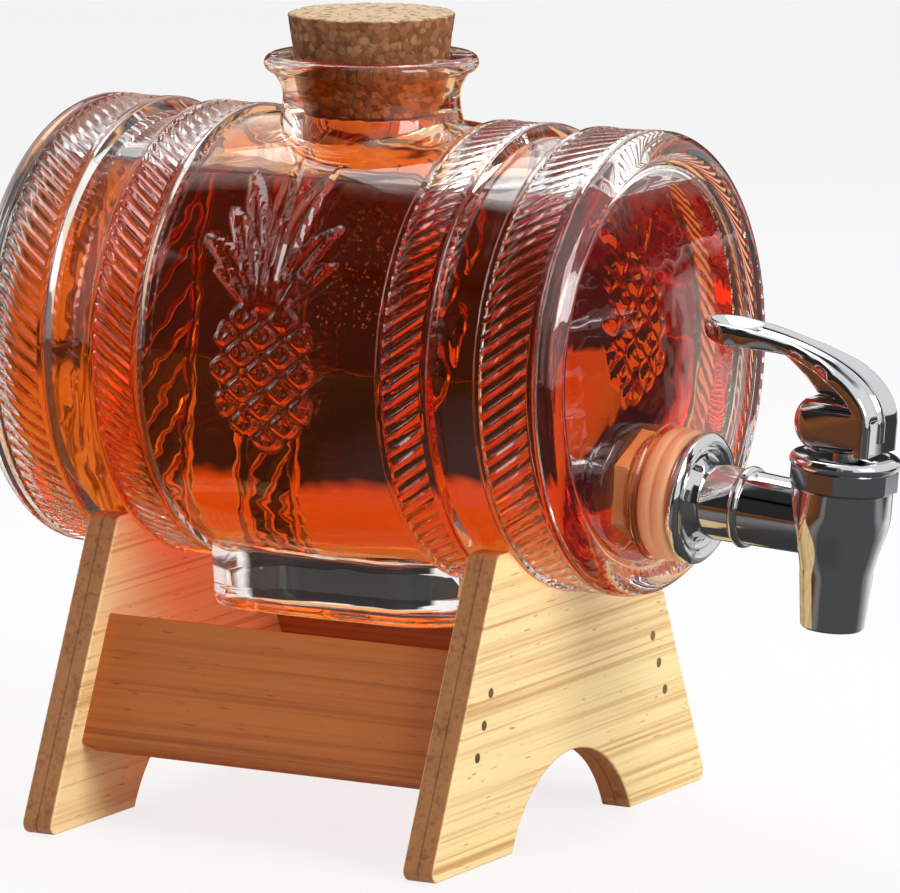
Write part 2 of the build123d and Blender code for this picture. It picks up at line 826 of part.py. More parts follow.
def lever():
    """The lever: thumb pad, strap, front column, rib and cam, measured from its pin."""
    shape = lever_slab(lever_strap, lever_column, lever_width) + lever_pad()
    shape &= lever_outline()
    shape += lever_slab(lever_strap + rib_depth, lever_column + rib_depth, rib_width) & lever_outline()
    shape += lever_cam()
    dimple_radius = (pad_dimple_length**2 / 4 + pad_dimple_depth**2) / (2 * pad_dimple_depth)
    shape -= Pos(
        -lever_reach + lever_tip_radius, 0, lever_rise - pad_dimple_depth + dimple_radius
    ) * Sphere(dimple_radius)
    slot_front = stem_radius + lever_slot_margin
    slot_back = cam_offset + cam_radius
    slot_top = stem_past_pin + lever_slot_margin / 3
    shape -= Pos((slot_front - slot_back) / 2, 0, slot_top - cam_radius) * Box(
        slot_front + slot_back, 2 * (stem_radius + lever_slot_clearance), 2 * cam_radius
    )
    shape -= Rot(90, 0, 0) * Cylinder(pin_radius, 2 * lever_width)
    return shape


at_pin = tap_place * in_valve * Pos(0, 0, pin_level)
tap_lever = at_pin * lever()
lever_pin = at_pin * Rot(90, 0, 0) * Cylinder(pin_radius, lever_width - 2 * pin_recess)

nodes = {
    "front_panel": front_panel,
    "rear_panel": rear_panel,
    "near_rail": near_rail,
    "far_rail": far_rail,
    "rail_brads": Compound([piece.solid() for piece in brads]),
    "glass_barrel": glass_barrel,
    "cork_stopper": cork_stopper,
    "tap_gasket": tap_gasket,
    "inner_gasket": inner_gasket,
    "shank_washer": shank_washer,
    "lock_nut": lock_nut,
    "tap_body": tap_body,
    "bonnet": bonnet,
    "bonnet_seal": bonnet_seal,
    "stem_seal": stem_seal,
    "valve_stem": valve_stem,
    "valve_plug": valve_plug,
    "return_spring": return_spring,
    "tap_lever": tap_lever,
    "lever_pin": lever_pin,
}

box = Compound([solid for shape in nodes.values() for solid in shape.solids()]).bounding_box()
to_origin = Pos(-box.center().X, -box.center().Y, -box.min.Z)
os.makedirs("parts", exist_ok=True)
for name, shape in nodes.items():
    export_step(to_origin * shape, f"parts/{name}.step")

print("spring gap", round(spring_gap(), 2))
print("size", [round(v, 2) for v in box.size], "moved by", round(-box.center().X, 3))
at = (to_origin * at_pin).position
print("lever pin at", [round(v, 3) for v in at])
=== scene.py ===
import json
import math
from contextlib import contextmanager
from functools import partial

import bmesh
import bpy
import numpy as np
from mathutils import Matrix, Vector, noise


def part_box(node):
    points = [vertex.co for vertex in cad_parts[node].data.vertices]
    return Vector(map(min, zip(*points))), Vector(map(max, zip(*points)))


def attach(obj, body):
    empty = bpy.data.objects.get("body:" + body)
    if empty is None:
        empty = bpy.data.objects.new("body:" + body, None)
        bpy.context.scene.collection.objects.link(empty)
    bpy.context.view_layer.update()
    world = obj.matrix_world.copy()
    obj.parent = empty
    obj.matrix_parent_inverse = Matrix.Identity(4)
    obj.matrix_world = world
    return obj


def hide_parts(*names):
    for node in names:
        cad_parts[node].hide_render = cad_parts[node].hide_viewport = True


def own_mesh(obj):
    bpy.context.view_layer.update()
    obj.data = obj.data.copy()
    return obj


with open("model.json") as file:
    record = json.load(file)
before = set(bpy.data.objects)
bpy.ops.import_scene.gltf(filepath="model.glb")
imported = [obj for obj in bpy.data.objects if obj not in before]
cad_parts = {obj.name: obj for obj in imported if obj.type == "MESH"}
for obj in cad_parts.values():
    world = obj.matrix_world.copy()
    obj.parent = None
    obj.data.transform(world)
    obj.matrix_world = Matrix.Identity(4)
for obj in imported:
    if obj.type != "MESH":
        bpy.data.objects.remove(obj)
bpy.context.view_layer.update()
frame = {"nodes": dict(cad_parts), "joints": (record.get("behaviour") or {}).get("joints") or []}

# A glass barrel of amber drink on a bamboo cradle, with a cork and a chrome lever tap. Metres.

nodes = frame["nodes"]
joints = {joint["name"]: joint for joint in frame["joints"]}

# places read from the frame
corkLow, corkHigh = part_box("cork_stopper")
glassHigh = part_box("glass_barrel")[1]
neckX = (corkLow.x + corkHigh.x) / 2
lipAboveAxis = 0.0704
barrelPlace = Matrix.Translation((neckX, 0, glassHigh.z - lipAboveAxis))

tapUp = Vector(joints["stem_lift"]["axis"]).normalized()
tapOut = Vector((tapUp.z, 0, -tapUp.x))
pinPlace = Vector(joints["lever_press"]["pos_m"])
pinAbovePipe = 0.0247
valveReach = 0.047
valvePlace = pinPlace - tapUp * pinAbovePipe
holePlace = valvePlace - tapOut * valveReach


def frameMatrix(origin, xAxis, yAxis, zAxis):
    turn = Matrix((xAxis, yAxis, zAxis)).transposed().to_4x4()
    return Matrix.Translation(origin) @ turn


# local z runs out along the pipe, or up the valve
sideways = Vector((0, 1, 0))
pipeFrame = frameMatrix(holePlace, -tapUp, sideways, tapOut)
valveFrame = frameMatrix(valvePlace, tapOut, sideways, tapUp)
leverFrame = frameMatrix(pinPlace, tapOut, sideways, tapUp)
barrelFrame = barrelPlace @ Matrix.Rotation(math.pi / 2, 4, "Y")


# mesh helpers

def addObject(name, data):
    made = bpy.data.objects.new(name, data)
    bpy.context.scene.collection.objects.link(made)
    return made


def addPiece(name, points, faces):
    mesh = bpy.data.meshes.new(name)
    mesh.from_pydata(np.asarray(points).tolist(), [], faces)
    return addObject(name, mesh)


@contextmanager
def editing(mesh):
    build = bmesh.new()
    build.from_mesh(mesh)
    yield build
    build.to_mesh(mesh)
    build.free()


def faceOutwards(piece):
    with editing(piece.data) as build:
        bmesh.ops.remove_doubles(build, verts=build.verts, dist=1e-7)
        bmesh.ops.recalc_face_normals(build, faces=build.faces)


def smooth(piece, sharpDegrees=35):
    piece.data.polygons.foreach_set("use_smooth", [True] * len(piece.data.polygons))
    piece.data.set_sharp_from_angle(angle=math.radians(sharpDegrees))
    piece.data.update()


def settle(piece):
    graph = bpy.context.evaluated_depsgraph_get()
    mesh = bpy.data.meshes.new_from_object(piece.evaluated_get(graph))
    piece.modifiers.clear()
    old = piece.data
    piece.data = mesh
    mesh.name = piece.name
    bpy.data.meshes.remove(old)


def combine(piece, other, operation):
    cut = piece.modifiers.new("combine", "BOOLEAN")
    cut.operation = operation
    cut.solver = "MANIFOLD"
    cut.object = other
    settle(piece)
    bpy.data.objects.remove(other)


def stackRings(name, rings, looped=False):
    # rows of rings become one skin: closed round itself, or closed by a point at each end
    rows, columns = rings.shape[:2]
    points = rings.reshape(-1, 3)
    faces = []
    for row in range(rows if looped else rows - 1):
        low = row * columns
        high = (row + 1) % rows * columns
        for column in range(columns):
            after = (column + 1) % columns
            faces.append((low + column, low + after, high + after, high + column))
    if not looped:
        poles = [rings[0].mean(axis=0), rings[-1].mean(axis=0)]
        points = np.vstack([points, poles])
        first = rows * columns
        last = (rows - 1) * columns
        for column in range(columns):
            after = (column + 1) % columns
            faces.append((first, after, column))
            faces.append((first + 1, last + column, last + after))
    piece = addPiece(name, points, faces)
    faceOutwards(piece)
    return piece


def placed(points, place):
    points = np.asarray(points, float)
    turn = np.array(place)
    return points @ turn[:3, :3].T + turn[:3, 3]


def lathe(name, profile, place, segments=96, looped=False, flats=0):
    # profile is (radius, height) about local z; flats turns the round into a polygon
    angles = np.linspace(0, 2 * math.pi, segments, endpoint=False)
    reach = np.ones(segments)
    if flats:
        facing = (angles + math.pi / flats) % (2 * math.pi / flats) - math.pi / flats
        reach = 1 / np.cos(facing)
    rings = []
    for radius, height in profile:
        ring = np.zeros((segments, 3))
        ring[:, 0] = radius * reach * np.cos(angles)
        ring[:, 1] = radius * reach * np.sin(angles)
        ring[:, 2] = height
        rings.append(placed(ring, place))
    return stackRings(name, np.array(rings), looped)


def arc(centre, size, start, end, steps):
    turn = np.radians(np.linspace(start, end, steps))
    return [(centre[0] + size * math.cos(a), centre[1] + size * math.sin(a)) for a in turn]


def toAxis(profile, axis=0.0004):
    # a profile with both ends drawn in to a small ring round the axis
    return [(axis, profile[0][1]), *profile, (axis, profile[-1][1])]


def disc(radius, low, high, *axis):
    return toAxis([(radius, low), (radius, high)], *axis)


def easeInOut(share):
    return share * share * (3 - 2 * share)


# material helpers

def feed(tree, socket, value):
    if isinstance(value, bpy.types.NodeSocket):
        tree.links.new(value, socket)
    else:
        socket.default_value = value


def drive(tree, node, inputs):
    for key, value in inputs.items():
        feed(tree, node.inputs[key], value)


def addNode(tree, kind, inputs=None, **settings):
    # kind is a shader node's short name, or the full name of another node
    made = tree.nodes.new(kind if "Node" in kind else "ShaderNode" + kind)
    for key, value in settings.items():
        setattr(made, key, value)
    drive(tree, made, inputs or {})
    return made


def newMaterial(name, **inputs):
    material = bpy.data.materials.new(name)
    material.use_nodes = True
    tree = material.node_tree
    tree.nodes.clear()
    output = addNode(tree, "OutputMaterial")
    shader = addNode(tree, "BsdfPrincipled", {key.replace("_", " "): value for key, value in inputs.items()})
    tree.links.new(shader.outputs["BSDF"], output.inputs["Surface"])
    return material, tree, shader, output


def ramp(tree, value, stops):
    made = addNode(tree, "ValToRGB", {"Fac": value})
    elements = made.color_ramp.elements
    while len(elements) < len(stops):
        elements.new(0.5)
    for element, (place, colour) in zip(elements, stops):
        element.position = place
        element.color = (*colour, 1)
    return made.outputs["Color"]


def bump(tree, height, strength, distance):
    made = addNode(tree, "Bump", {"Height": height, "Strength": strength, "Distance": distance})
    return made.outputs["Normal"]


def calculate(tree, operation, *values):
    return addNode(tree, "Math", dict(enumerate(values)), operation=operation).outputs[0]


def remap(tree, value, low, high, toLow=0.0, toHigh=1.0):
    span = {"Value": value, "From Min": low, "From Max": high, "To Min": toLow, "To Max": toHigh}
    return addNode(tree, "MapRange", span).outputs["Result"]


def patches(tree, vector, scale, detail, roughness=0.5):
    cloud = {"Vector": vector, "Scale": scale, "Detail": detail, "Roughness": roughness}
    return addNode(tree, "TexNoise", cloud).outputs["Fac"]


def mixColours(tree, share, first, second, blend="MIX"):
    made = addNode(tree, "Mix", {"Factor": share, 6: first, 7: second}, data_type="RGBA", blend_type=blend)
    return made.outputs[2]


def objectPoint(tree, scale=(1, 1, 1), turn=(0, 0, 0)):
    point = addNode(tree, "TexCoord").outputs["Object"]
    mapping = addNode(tree, "Mapping", {"Vector": point, "Scale": scale, "Rotation": turn})
    return mapping.outputs["Vector"]


def newGroup(name, inputs, outputs):
    group = bpy.data.node_groups.new(name, "ShaderNodeTree")
    for label, kind, value in inputs:
        socket = group.interface.new_socket(label, in_out="INPUT", socket_type=kind)
        if value is not None:
            socket.default_value = value
    for label, kind in outputs:
        group.interface.new_socket(label, in_out="OUTPUT", socket_type=kind)
    return group, group.nodes.new("NodeGroupInput"), group.nodes.new("NodeGroupOutput")


def handlingMarks():
    # fine smears and scuffs that change how rough a polished surface is
    group, source, result = newGroup(
        "handlingMarks",
        [("Vector", "NodeSocketVector", None), ("Scale", "NodeSocketFloat", 60.0),
         ("Low", "NodeSocketFloat", 0.05), ("High", "NodeSocketFloat", 0.12)],
        [("Roughness", "NodeSocketFloat"), ("Height", "NodeSocketFloat")],
    )
    given = source.outputs
    smear = patches(group, given["Vector"], given["Scale"], 6.0, 0.65)
    rough = remap(group, smear, 0.35, 0.65, given["Low"], given["High"])
    drive(group, result, {"Roughness": rough, "Height": smear})
    return group


marks = handlingMarks()


def addMarks(tree, shader, scale, low, high):
    # marks between two roughnesses; their height is given back for a bump
    inputs = {"Vector": objectPoint(tree), "Scale": scale, "Low": low, "High": high}
    worn = addNode(tree, "Group", inputs, node_tree=marks)
    tree.links.new(worn.outputs["Roughness"], shader.inputs["Roughness"])
    return worn.outputs["Height"]


def metalFinish(name, colour, low, high, scale=60.0):
    material, tree, shader, _ = newMaterial(name, Base_Color=(*colour, 1), Metallic=1.0)
    addMarks(tree, shader, scale, low, high)
    return material


def nylonMaterial():
    material, tree, shader, _ = newMaterial("nutNylon", Base_Color=(0.82, 0.80, 0.76, 1))
    height = addMarks(tree, shader, 90.0, 0.4, 0.55)
    tree.links.new(bump(tree, height, 0.15, 0.0004), shader.inputs["Normal"])
    return material


chromeFinish = metalFinish("tapChrome", (0.62, 0.63, 0.65), 0.03, 0.09)
steelFinish = metalFinish("plainSteel", (0.55, 0.54, 0.52), 0.22, 0.38, 400.0)
bradFinish = metalFinish("brownBrads", (0.40, 0.25, 0.12), 0.35, 0.5, 400.0)
nylonFinish = nylonMaterial()


def mixSurfaces(tree, output, share, first, second):
    mix = addNode(tree, "MixShader", {"Fac": share, 1: first.outputs[0], 2: second.outputs[0]})
    tree.links.new(mix.outputs["Shader"], output.inputs["Surface"])


def lampsThrough(tree, shader, output, tint):
    # lamps reach what is behind, tinted once by each skin they cross
    path = addNode(tree, "LightPath")
    clear = addNode(tree, "BsdfTransparent", {"Color": (*tint, 1)})
    mixSurfaces(tree, output, path.outputs["Is Shadow Ray"], shader, clear)


# an amber tint painted on the glass near the neck, standing in for the drink's orange light seen through it;
# random streaks break it up
paintedNeckAmber = {
    "low": 0.150,
    "full": 0.160,
    "top": 0.1835,
    "fade": 0.003,
    "reach": (0.026, 0.036),
    "streaks": (60, 60, 12),
    "clear": (0.98, 0.985, 0.98),
    "amber": (0.98, 0.50, 0.18),
}


def glassMaterial():
    # clear glass, with an amber tint painted on it near the neck, from about the drink's level to below the
    # lip: a painted reflection of the drink's orange light seen through the neck
    material, tree, shader, output = newMaterial(
        "barrelGlass", Roughness=0.0, IOR=1.5, Transmission_Weight=1.0)
    coordinates = addNode(tree, "TexCoord").outputs["Object"]
    place = addNode(tree, "SeparateXYZ", {"Vector": coordinates}).outputs
    fromNeck = calculate(tree, "ABSOLUTE", calculate(tree, "ADD", place["X"], -neckX))
    streaks = patches(tree, objectPoint(tree, paintedNeckAmber["streaks"]), 1.0, 3.0)
    amberShare = remap(tree, place["Z"], paintedNeckAmber["low"], paintedNeckAmber["full"])
    for mask in (remap(tree, place["Z"], paintedNeckAmber["top"], paintedNeckAmber["top"] + paintedNeckAmber["fade"], 1.0, 0.0),
                 remap(tree, streaks, 0.3, 0.6, 0.45, 1.0),
                 remap(tree, fromNeck, *paintedNeckAmber["reach"], 1.0, 0.0)):
        amberShare = calculate(tree, "MULTIPLY", amberShare, mask)
    tint = mixColours(tree, amberShare, (*paintedNeckAmber["clear"], 1), (*paintedNeckAmber["amber"], 1))
    sway = patches(tree, objectPoint(tree), 55.0, 2.0)
    drive(tree, shader, {"Base Color": tint, "Normal": bump(tree, sway, 0.12, 0.002)})
    lampsThrough(tree, shader, output, (0.95, 0.95, 0.95))
    return material


def drinkMaterial():
    material, tree, shader, output = newMaterial(
        "amberDrink", Base_Color=(1, 1, 1, 1), Roughness=0.0, IOR=1.35, Transmission_Weight=1.0)
    depth = addNode(tree, "VolumeAbsorption", {"Color": (0.965, 0.625, 0.10, 1), "Density": 60.0})
    tree.links.new(depth.outputs["Volume"], output.inputs["Volume"])
    lampsThrough(tree, shader, output, (0.86, 0.42, 0.13))
    return material


def siliconeMaterial():
    material, tree, shader, _ = newMaterial(
        "gasketSilicone", Base_Color=(0.90, 0.40, 0.20, 1), IOR=1.42, Subsurface_Weight=0.6,
        Subsurface_Radius=(0.006, 0.003, 0.0018), Subsurface_Scale=1.0)
    addMarks(tree, shader, 120.0, 0.28, 0.42)
    return material


glassFinish = glassMaterial()
drinkFinish = drinkMaterial()
siliconeFinish = siliconeMaterial()


def bambooGrain():
    # pressed fibres with thin dark lines, wider strips and short flecks, running along local y
    group, source, result = newGroup(
        "bambooGrain",
        [("Vector", "NodeSocketVector", None)],
        [("Tone", "NodeSocketFloat"), ("Fleck", "NodeSocketFloat"), ("Height", "NodeSocketFloat")],
    )

    def strands(scale, detail):
        stretched = addNode(group, "Mapping", {"Vector": source.outputs["Vector"], "Scale": scale})
        return patches(group, stretched.outputs["Vector"], 1.0, detail, 0.7)

    def weighted(value, weight):
        return calculate(group, "MULTIPLY", value, weight)

    fibre = strands((1100, 9, 1100), 5.0)
    strip = strands((170, 2.5, 170), 2.0)
    line = remap(group, strands((620, 3.5, 620), 1.0), 0.56, 0.66)
    tone = calculate(group, "ADD", weighted(fibre, 0.5), weighted(strip, 0.5))
    drive(group, result, {
        "Tone": calculate(group, "SUBTRACT", tone, weighted(line, 0.13)),
        "Fleck": remap(group, strands((1250, 150, 1250), 1.0), 0.70, 0.76),
        "Height": fibre,
    })
    return group


grain = bambooGrain()


# the edge and rail browns are darker and redder than the face partly as painted shade, for sides turned from
# the main lamp; grain, flecks and ply lines are the wood's own
bamboo = {
    "face": ((0.93, 0.71, 0.35), (0.62, 0.35, 0.12)),
    "edge": ((0.43, 0.185, 0.064), (0.28, 0.105, 0.036)),
    "rail": ((0.50, 0.145, 0.028), (0.29, 0.075, 0.013)),
    "plyLine": 0.00035,
}
frontLow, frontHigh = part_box("front_panel")
rearLow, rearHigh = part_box("rear_panel")


def woodTone(tree, wood, colours):
    pale, dark = colours
    bright = tuple(min(1, c * 1.15) for c in pale)
    tone = ramp(tree, wood.outputs["Tone"], [(0.30, dark), (0.50, pale), (0.72, bright)])
    return mixColours(tree, wood.outputs["Fleck"], tone, (*dark, 1))


def panelTone(tree, wood):
    # the boards are pale on their faces; their sawn edges get a darker browner tone, painted shade for the
    # sides turned from the main lamp, and two plies show along them
    coordinates = addNode(tree, "TexCoord").outputs
    facing = addNode(tree, "SeparateXYZ", {"Vector": coordinates["Normal"]}).outputs["X"]
    along = addNode(tree, "SeparateXYZ", {"Vector": coordinates["Object"]}).outputs["X"]

    def distance(value, place):
        return calculate(tree, "ABSOLUTE", calculate(tree, "ADD", value, -place))

    onFace = remap(tree, calculate(tree, "ABSOLUTE", facing), 0.35, 0.75)
    standMiddle = (rearLow.x + frontHigh.x) / 2
    panelMiddle = (frontLow.x + frontHigh.x - rearLow.x - rearHigh.x) / 4
    fromPly = distance(distance(along, standMiddle), panelMiddle)
    plyLine = remap(tree, fromPly, 0.0, bamboo["plyLine"], 0.45, 1.0)
    edge = mixColours(tree, 1.0, woodTone(tree, wood, bamboo["edge"]), plyLine, "MULTIPLY")
    return mixColours(tree, onFace, edge, woodTone(tree, wood, bamboo["face"]))


def bambooMaterial(name, alongX):
    material, tree, shader, _ = newMaterial(name, IOR=1.45)
    turn = (0, 0, math.pi / 2) if alongX else (0, 0, 0)
    wood = addNode(tree, "Group", {"Vector": objectPoint(tree, turn=turn)}, node_tree=grain)
    # rails take the darker, redder rail browns, which are partly painted shade
    colour = woodTone(tree, wood, bamboo["rail"]) if alongX else panelTone(tree, wood)
    rough = remap(tree, wood.outputs["Tone"], 0.0, 1.0, 0.62, 0.42)
    relief = bump(tree, wood.outputs["Height"], 0.25, 0.0003)
    drive(tree, shader, {"Base Color": colour, "Roughness": rough, "Normal": relief})
    return material


panelFinish = bambooMaterial("bambooPanel", False)
railFinish = bambooMaterial("bambooRail", True)


# the top colour is a painted highlight on the cork's upward faces
corkTones = {
    "crumbs": ((0.1, (0.19, 0.065, 0.024)), (0.5, (0.30, 0.115, 0.046)), (0.9, (0.44, 0.20, 0.085))),
    "top": (0.86, 0.66, 0.43, 1),
    "gap": (0.14, 0.055, 0.02, 1),
}


def corkMaterial():
    # pressed crumbs of a few browns, with dark gaps and pores
    material, tree, shader, _ = newMaterial("stopperCork", IOR=1.4, Roughness=0.9)
    point = objectPoint(tree)
    crumbs = addNode(tree, "TexVoronoi", {"Vector": point, "Scale": 560.0, "Randomness": 1.0}).outputs
    tint = ramp(tree, crumbs["Color"], corkTones["crumbs"])
    gaps = remap(tree, crumbs["Distance"], 0.55, 0.85)
    pits = remap(tree, patches(tree, point, 900.0, 4.0, 0.65), 0.58, 0.68)
    dark = calculate(tree, "MAXIMUM", gaps, pits)
    # the top is painted paler: a painted highlight for the light falling on it from above
    normal = addNode(tree, "TexCoord").outputs["Normal"]
    facing = addNode(tree, "SeparateXYZ", {"Vector": normal}).outputs["Z"]
    top = remap(tree, facing, 0.5, 0.95, 0.0, 0.75)
    litTopTint = mixColours(tree, top, tint, corkTones["top"])
    colour = mixColours(tree, calculate(tree, "MULTIPLY", dark, 0.7), litTopTint, corkTones["gap"])
    solid = calculate(tree, "SUBTRACT", 1.0, dark)
    drive(tree, shader, {"Base Color": colour, "Normal": bump(tree, solid, 0.6, 0.0005)})
    return material


corkFinish = corkMaterial()
print("finishes made")


def finish(piece, material, body, slot, *replaced):
    piece.data.materials.clear()
    piece.data.materials.append(material)
    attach(piece, body)
    if replaced:
        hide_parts(*replaced)


# glass barrel, worked out along its axis from the middle of the neck

barrel = {
    "grooveRadius": 0.0526,
    "hoopHeight": 0.0035,
    "bellyDrop": 0.0020,
    "bellyBulge": 0.0019,
    "innerHoop": (0.0328, 0.0472),
    "outerHoop": (0.0593, 0.0759),
    "rimRadius": 0.0052,
    "rimWidth": 0.0076,
    "endDish": 0.0016,
    "tapDrop": 0.0306,
    "tapTilt": math.radians(4.5),
    "wall": 0.0042,
    "endWall": 0.0050,
    "cavityCorner": 0.004,
    "underHoop": 0.0010,
    "fruitRows": (0.0003, 0.0225, 0.0006),
    "shoulderStart": 0.0232,
    "crowding": 0.25,
    "columns": 330,
    "beadWidth": 0.0023,
    "beadEdge": 0.0009,
    "beadStep": 0.0002,
    "reeds": 90,
    "columnsPerReed": 7,
    "reedHeight": 0.0008,
    "reedPoint": 4.0,
    "reedSlope": 0.70,
}
hoopRadius = barrel["grooveRadius"] + barrel["hoopHeight"]
bellyEdge = hoopRadius - barrel["bellyDrop"]
bellyTop = bellyEdge + barrel["bellyBulge"]
rimEnd = barrel["outerHoop"][1] + barrel["rimRadius"]
dishRadius = hoopRadius - barrel["rimWidth"]
dishEdge = rimEnd - barrel["endDish"]
domeRadius = barrel["tapDrop"] / math.sin(barrel["tapTilt"])
domeCentre = dishEdge - math.sqrt(domeRadius**2 - dishRadius**2)

pineapple = {
    "middle": 0.0020,
    "half": (0.0132, 0.0180),
    "scalePitch": (0.0110, 0.0086),
    "fruitRise": 0.0003,
    "scaleRise": 0.0010,
    "scaleDimple": 0.5,
    "leafRise": 0.0011,
    "leafHollow": 0.7,
    "leafRoot": 0.0155,
    "leafWidth": 0.0058,
    "leafTips": ((-0.003, 0.057), (0.010, 0.055), (-0.014, 0.052), (-0.0155, 0.041), (-0.0205, 0.033),
                 (-0.015, 0.0245), (0.019, 0.038), (0.0195, 0.0275), (0.0015, 0.041), (0.012, 0.0235)),
}


def soft(value, width):
    return easeInOut(np.clip(value / width, 0, 1))


def leafRise(s, t, tip):
    # a leaf is a row of discs along a bent line, widest below its middle, hollow between raised rims
    lean = tip[0] - pineapple["middle"]
    rise = tip[1] - pineapple["leafRoot"]
    root = np.array((0.2 * lean, pineapple["leafRoot"]))
    middle = np.array((0.45 * lean, pineapple["leafRoot"] + 0.55 * rise))
    end = np.array((lean, tip[1]))
    bend = 2 * middle - (root + end) / 2
    inside = np.full(s.shape, -1.0)
    for share in np.linspace(0, 1, 40):
        place = (1 - share)**2 * root + 2 * share * (1 - share) * bend + share**2 * end
        half = pineapple["leafWidth"] / 2 * (0.5 + 2.5 * share - 3 * share**2)
        inside = np.maximum(inside, half - np.hypot(s - place[0], t - place[1]))
    rim = soft(inside, 0.0007) * (1 - pineapple["leafHollow"] * soft(inside - 0.0008, 0.0010))
    return pineapple["leafRise"] * rim


def pineappleRise(along, up):
    # height of the moulded fruit over the belly: along the barrel, and up round it
    s = along - pineapple["middle"]
    halfWide, halfTall = pineapple["half"]
    pitchWide, pitchTall = pineapple["scalePitch"]
    one = s / pitchWide + up / pitchTall
    two = s / pitchWide - up / pitchTall
    row, column = np.round(one), np.round(two)
    whole = np.hypot(pitchWide * (row + column) / 2 / halfWide, pitchTall * (row - column) / 2 / halfTall) < 1
    edge = 2 * ((one - row)**4 + (two - column)**4)**0.25
    scales = soft(0.90 - edge, 0.30) - pineapple["scaleDimple"] * soft(0.50 - edge, 0.30)
    inside = np.hypot(s / halfWide, up / halfTall)
    rise = pineapple["fruitRise"] * soft(1 - inside, 0.3)
    rise += pineapple["scaleRise"] * scales * whole * soft(1.10 - inside, 0.10)
    for tip in pineapple["leafTips"]:
        rise = np.maximum(rise, leafRise(s, up, tip))
    return rise


def bellyRadius(x):
    return bellyEdge + barrel["bellyBulge"] * (1 - (x / barrel["innerHoop"][0])**2)


def barrelRows():
    # one half of the barrel's outline, from its middle to its tap end, running under the hoops
    innerStart, innerEnd = barrel["innerHoop"]
    outerStart, outerEnd = barrel["outerHoop"]
    groove = barrel["grooveRadius"]
    under = barrel["underHoop"]
    middle = np.arange(*barrel["fruitRows"])
    shoulder = np.linspace(barrel["shoulderStart"], innerStart + under, 6)
    rows = [(x, bellyRadius(x)) for x in np.concatenate([middle, shoulder])]
    rows += [(x, groove) for x in np.linspace(innerEnd - under, outerStart + under, 6)]
    rows += [(outerEnd - under, hoopRadius - 0.0014), (outerEnd, hoopRadius - 0.0008)]
    crest = (outerEnd, hoopRadius - barrel["rimRadius"])
    rows += arc(crest, barrel["rimRadius"], 78, 0, 8)
    rows += [(dishEdge + 0.0006, dishRadius + 0.0012)]
    for radius in dishRadius * np.array([1.0, 0.97, 0.85, 0.7, 0.55, 0.4, 0.25, 0.1]):
        rows.append((domeCentre + math.sqrt(domeRadius**2 - radius**2), radius))
    return np.array(rows)


def barrelSkin():
    half = barrelRows()
    rows = np.vstack([half[::-1] * (-1, 1), half])
    x = rows[:, 0:1]
    theta = np.linspace(0, 2 * math.pi, barrel["columns"], endpoint=False)[None, :]
    # columns crowd together where the fruit is
    dense = np.interp(np.abs(x), [0.024, barrel["innerHoop"][0]], [1, 0])
    phi = theta - barrel["crowding"] * dense * np.sin(2 * theta)
    near = (phi + math.pi) % (2 * math.pi) - math.pi
    far = (2 * math.pi - phi) % (2 * math.pi) - math.pi
    radius = rows[:, 1:2] + 0 * phi
    inBelly = np.abs(rows[:, 0]) < barrel["innerHoop"][0]
    for side in (near, far):
        radius[inBelly] += pineappleRise((x + 0 * side)[inBelly], side[inBelly] * bellyTop)
    grid = np.stack([x + 0 * radius, -radius * np.cos(phi), radius * np.sin(phi)], axis=-1)
    return stackRings("barrelGlass", placed(grid, barrelPlace))


def hoopOutline(start, end):
    # (x, radius, reeding) round one hoop's section: a bead, the reeded band, a bead, and back inside the wall
    bead, edge = barrel["beadWidth"], barrel["beadEdge"]
    valley = hoopRadius - barrel["beadStep"] - barrel["reedHeight"]
    deep = barrel["grooveRadius"] - 0.0015
    side = [(0, deep)]
    for turn in np.radians((0, 30, 60, 90)):
        side.append((edge * (1 - math.cos(turn)), hoopRadius - edge * (1 - math.sin(turn))))
    side += [(bead - 0.0003, hoopRadius)]
    rows = [(start + across, radius, 0) for across, radius in side]
    rows += [(x, valley, 1) for x in np.linspace(start + bead, end - bead, 4)]
    return np.array(rows + [(end - across, radius, 0) for across, radius in reversed(side)])


def hoopRing(start, end, side):
    # one hoop, whose columns are turned along the barrel so that its reeds slope
    rows = hoopOutline(start, end)
    x, radius, share = (rows[:, column:column + 1] for column in range(3))
    step = np.linspace(0, 2 * math.pi, barrel["reeds"] * barrel["columnsPerReed"], endpoint=False)[None, :]
    phi = step + barrel["reedSlope"] * (x - start) / hoopRadius
    grid = np.stack([side * x + 0 * phi, -radius * np.cos(phi), radius * np.sin(phi)], axis=-1)
    ring = stackRings("hoop", grid, looped=True)
    reedHoop(ring, (share + 0 * step).ravel(), (step + 0 * x).ravel())
    ring.data.transform(barrelPlace)
    return ring


def geometryTree(name, inputs):
    # an empty tree with named inputs, whose identifiers are given back by name
    tree = bpy.data.node_groups.new(name, "GeometryNodeTree")
    tree.interface.new_socket("Geometry", in_out="INPUT", socket_type="NodeSocketGeometry")
    names = {}
    for label, kind in inputs:
        socket = tree.interface.new_socket(label, in_out="INPUT", socket_type="NodeSocket" + kind)
        names[label] = socket.identifier
    tree.interface.new_socket("Geometry", in_out="OUTPUT", socket_type="NodeSocketGeometry")
    return tree, names


def endTree(tree, geometry, material):
    single = addNode(tree, "GeometryNodeRealizeInstances", {"Geometry": geometry}).outputs["Geometry"]
    dressed = addNode(tree, "GeometryNodeSetMaterial", {"Geometry": single, "Material": material})
    addNode(tree, "NodeGroupOutput", {"Geometry": dressed.outputs["Geometry"]})


def runTree(piece, tree, names, settings):
    # runs a tree on a piece, and keeps the result as a plain mesh
    modifier = piece.modifiers.new(tree.name, "NODES")
    modifier.node_group = tree
    for label, value in settings.items():
        modifier[names[label]] = value
    settle(piece)


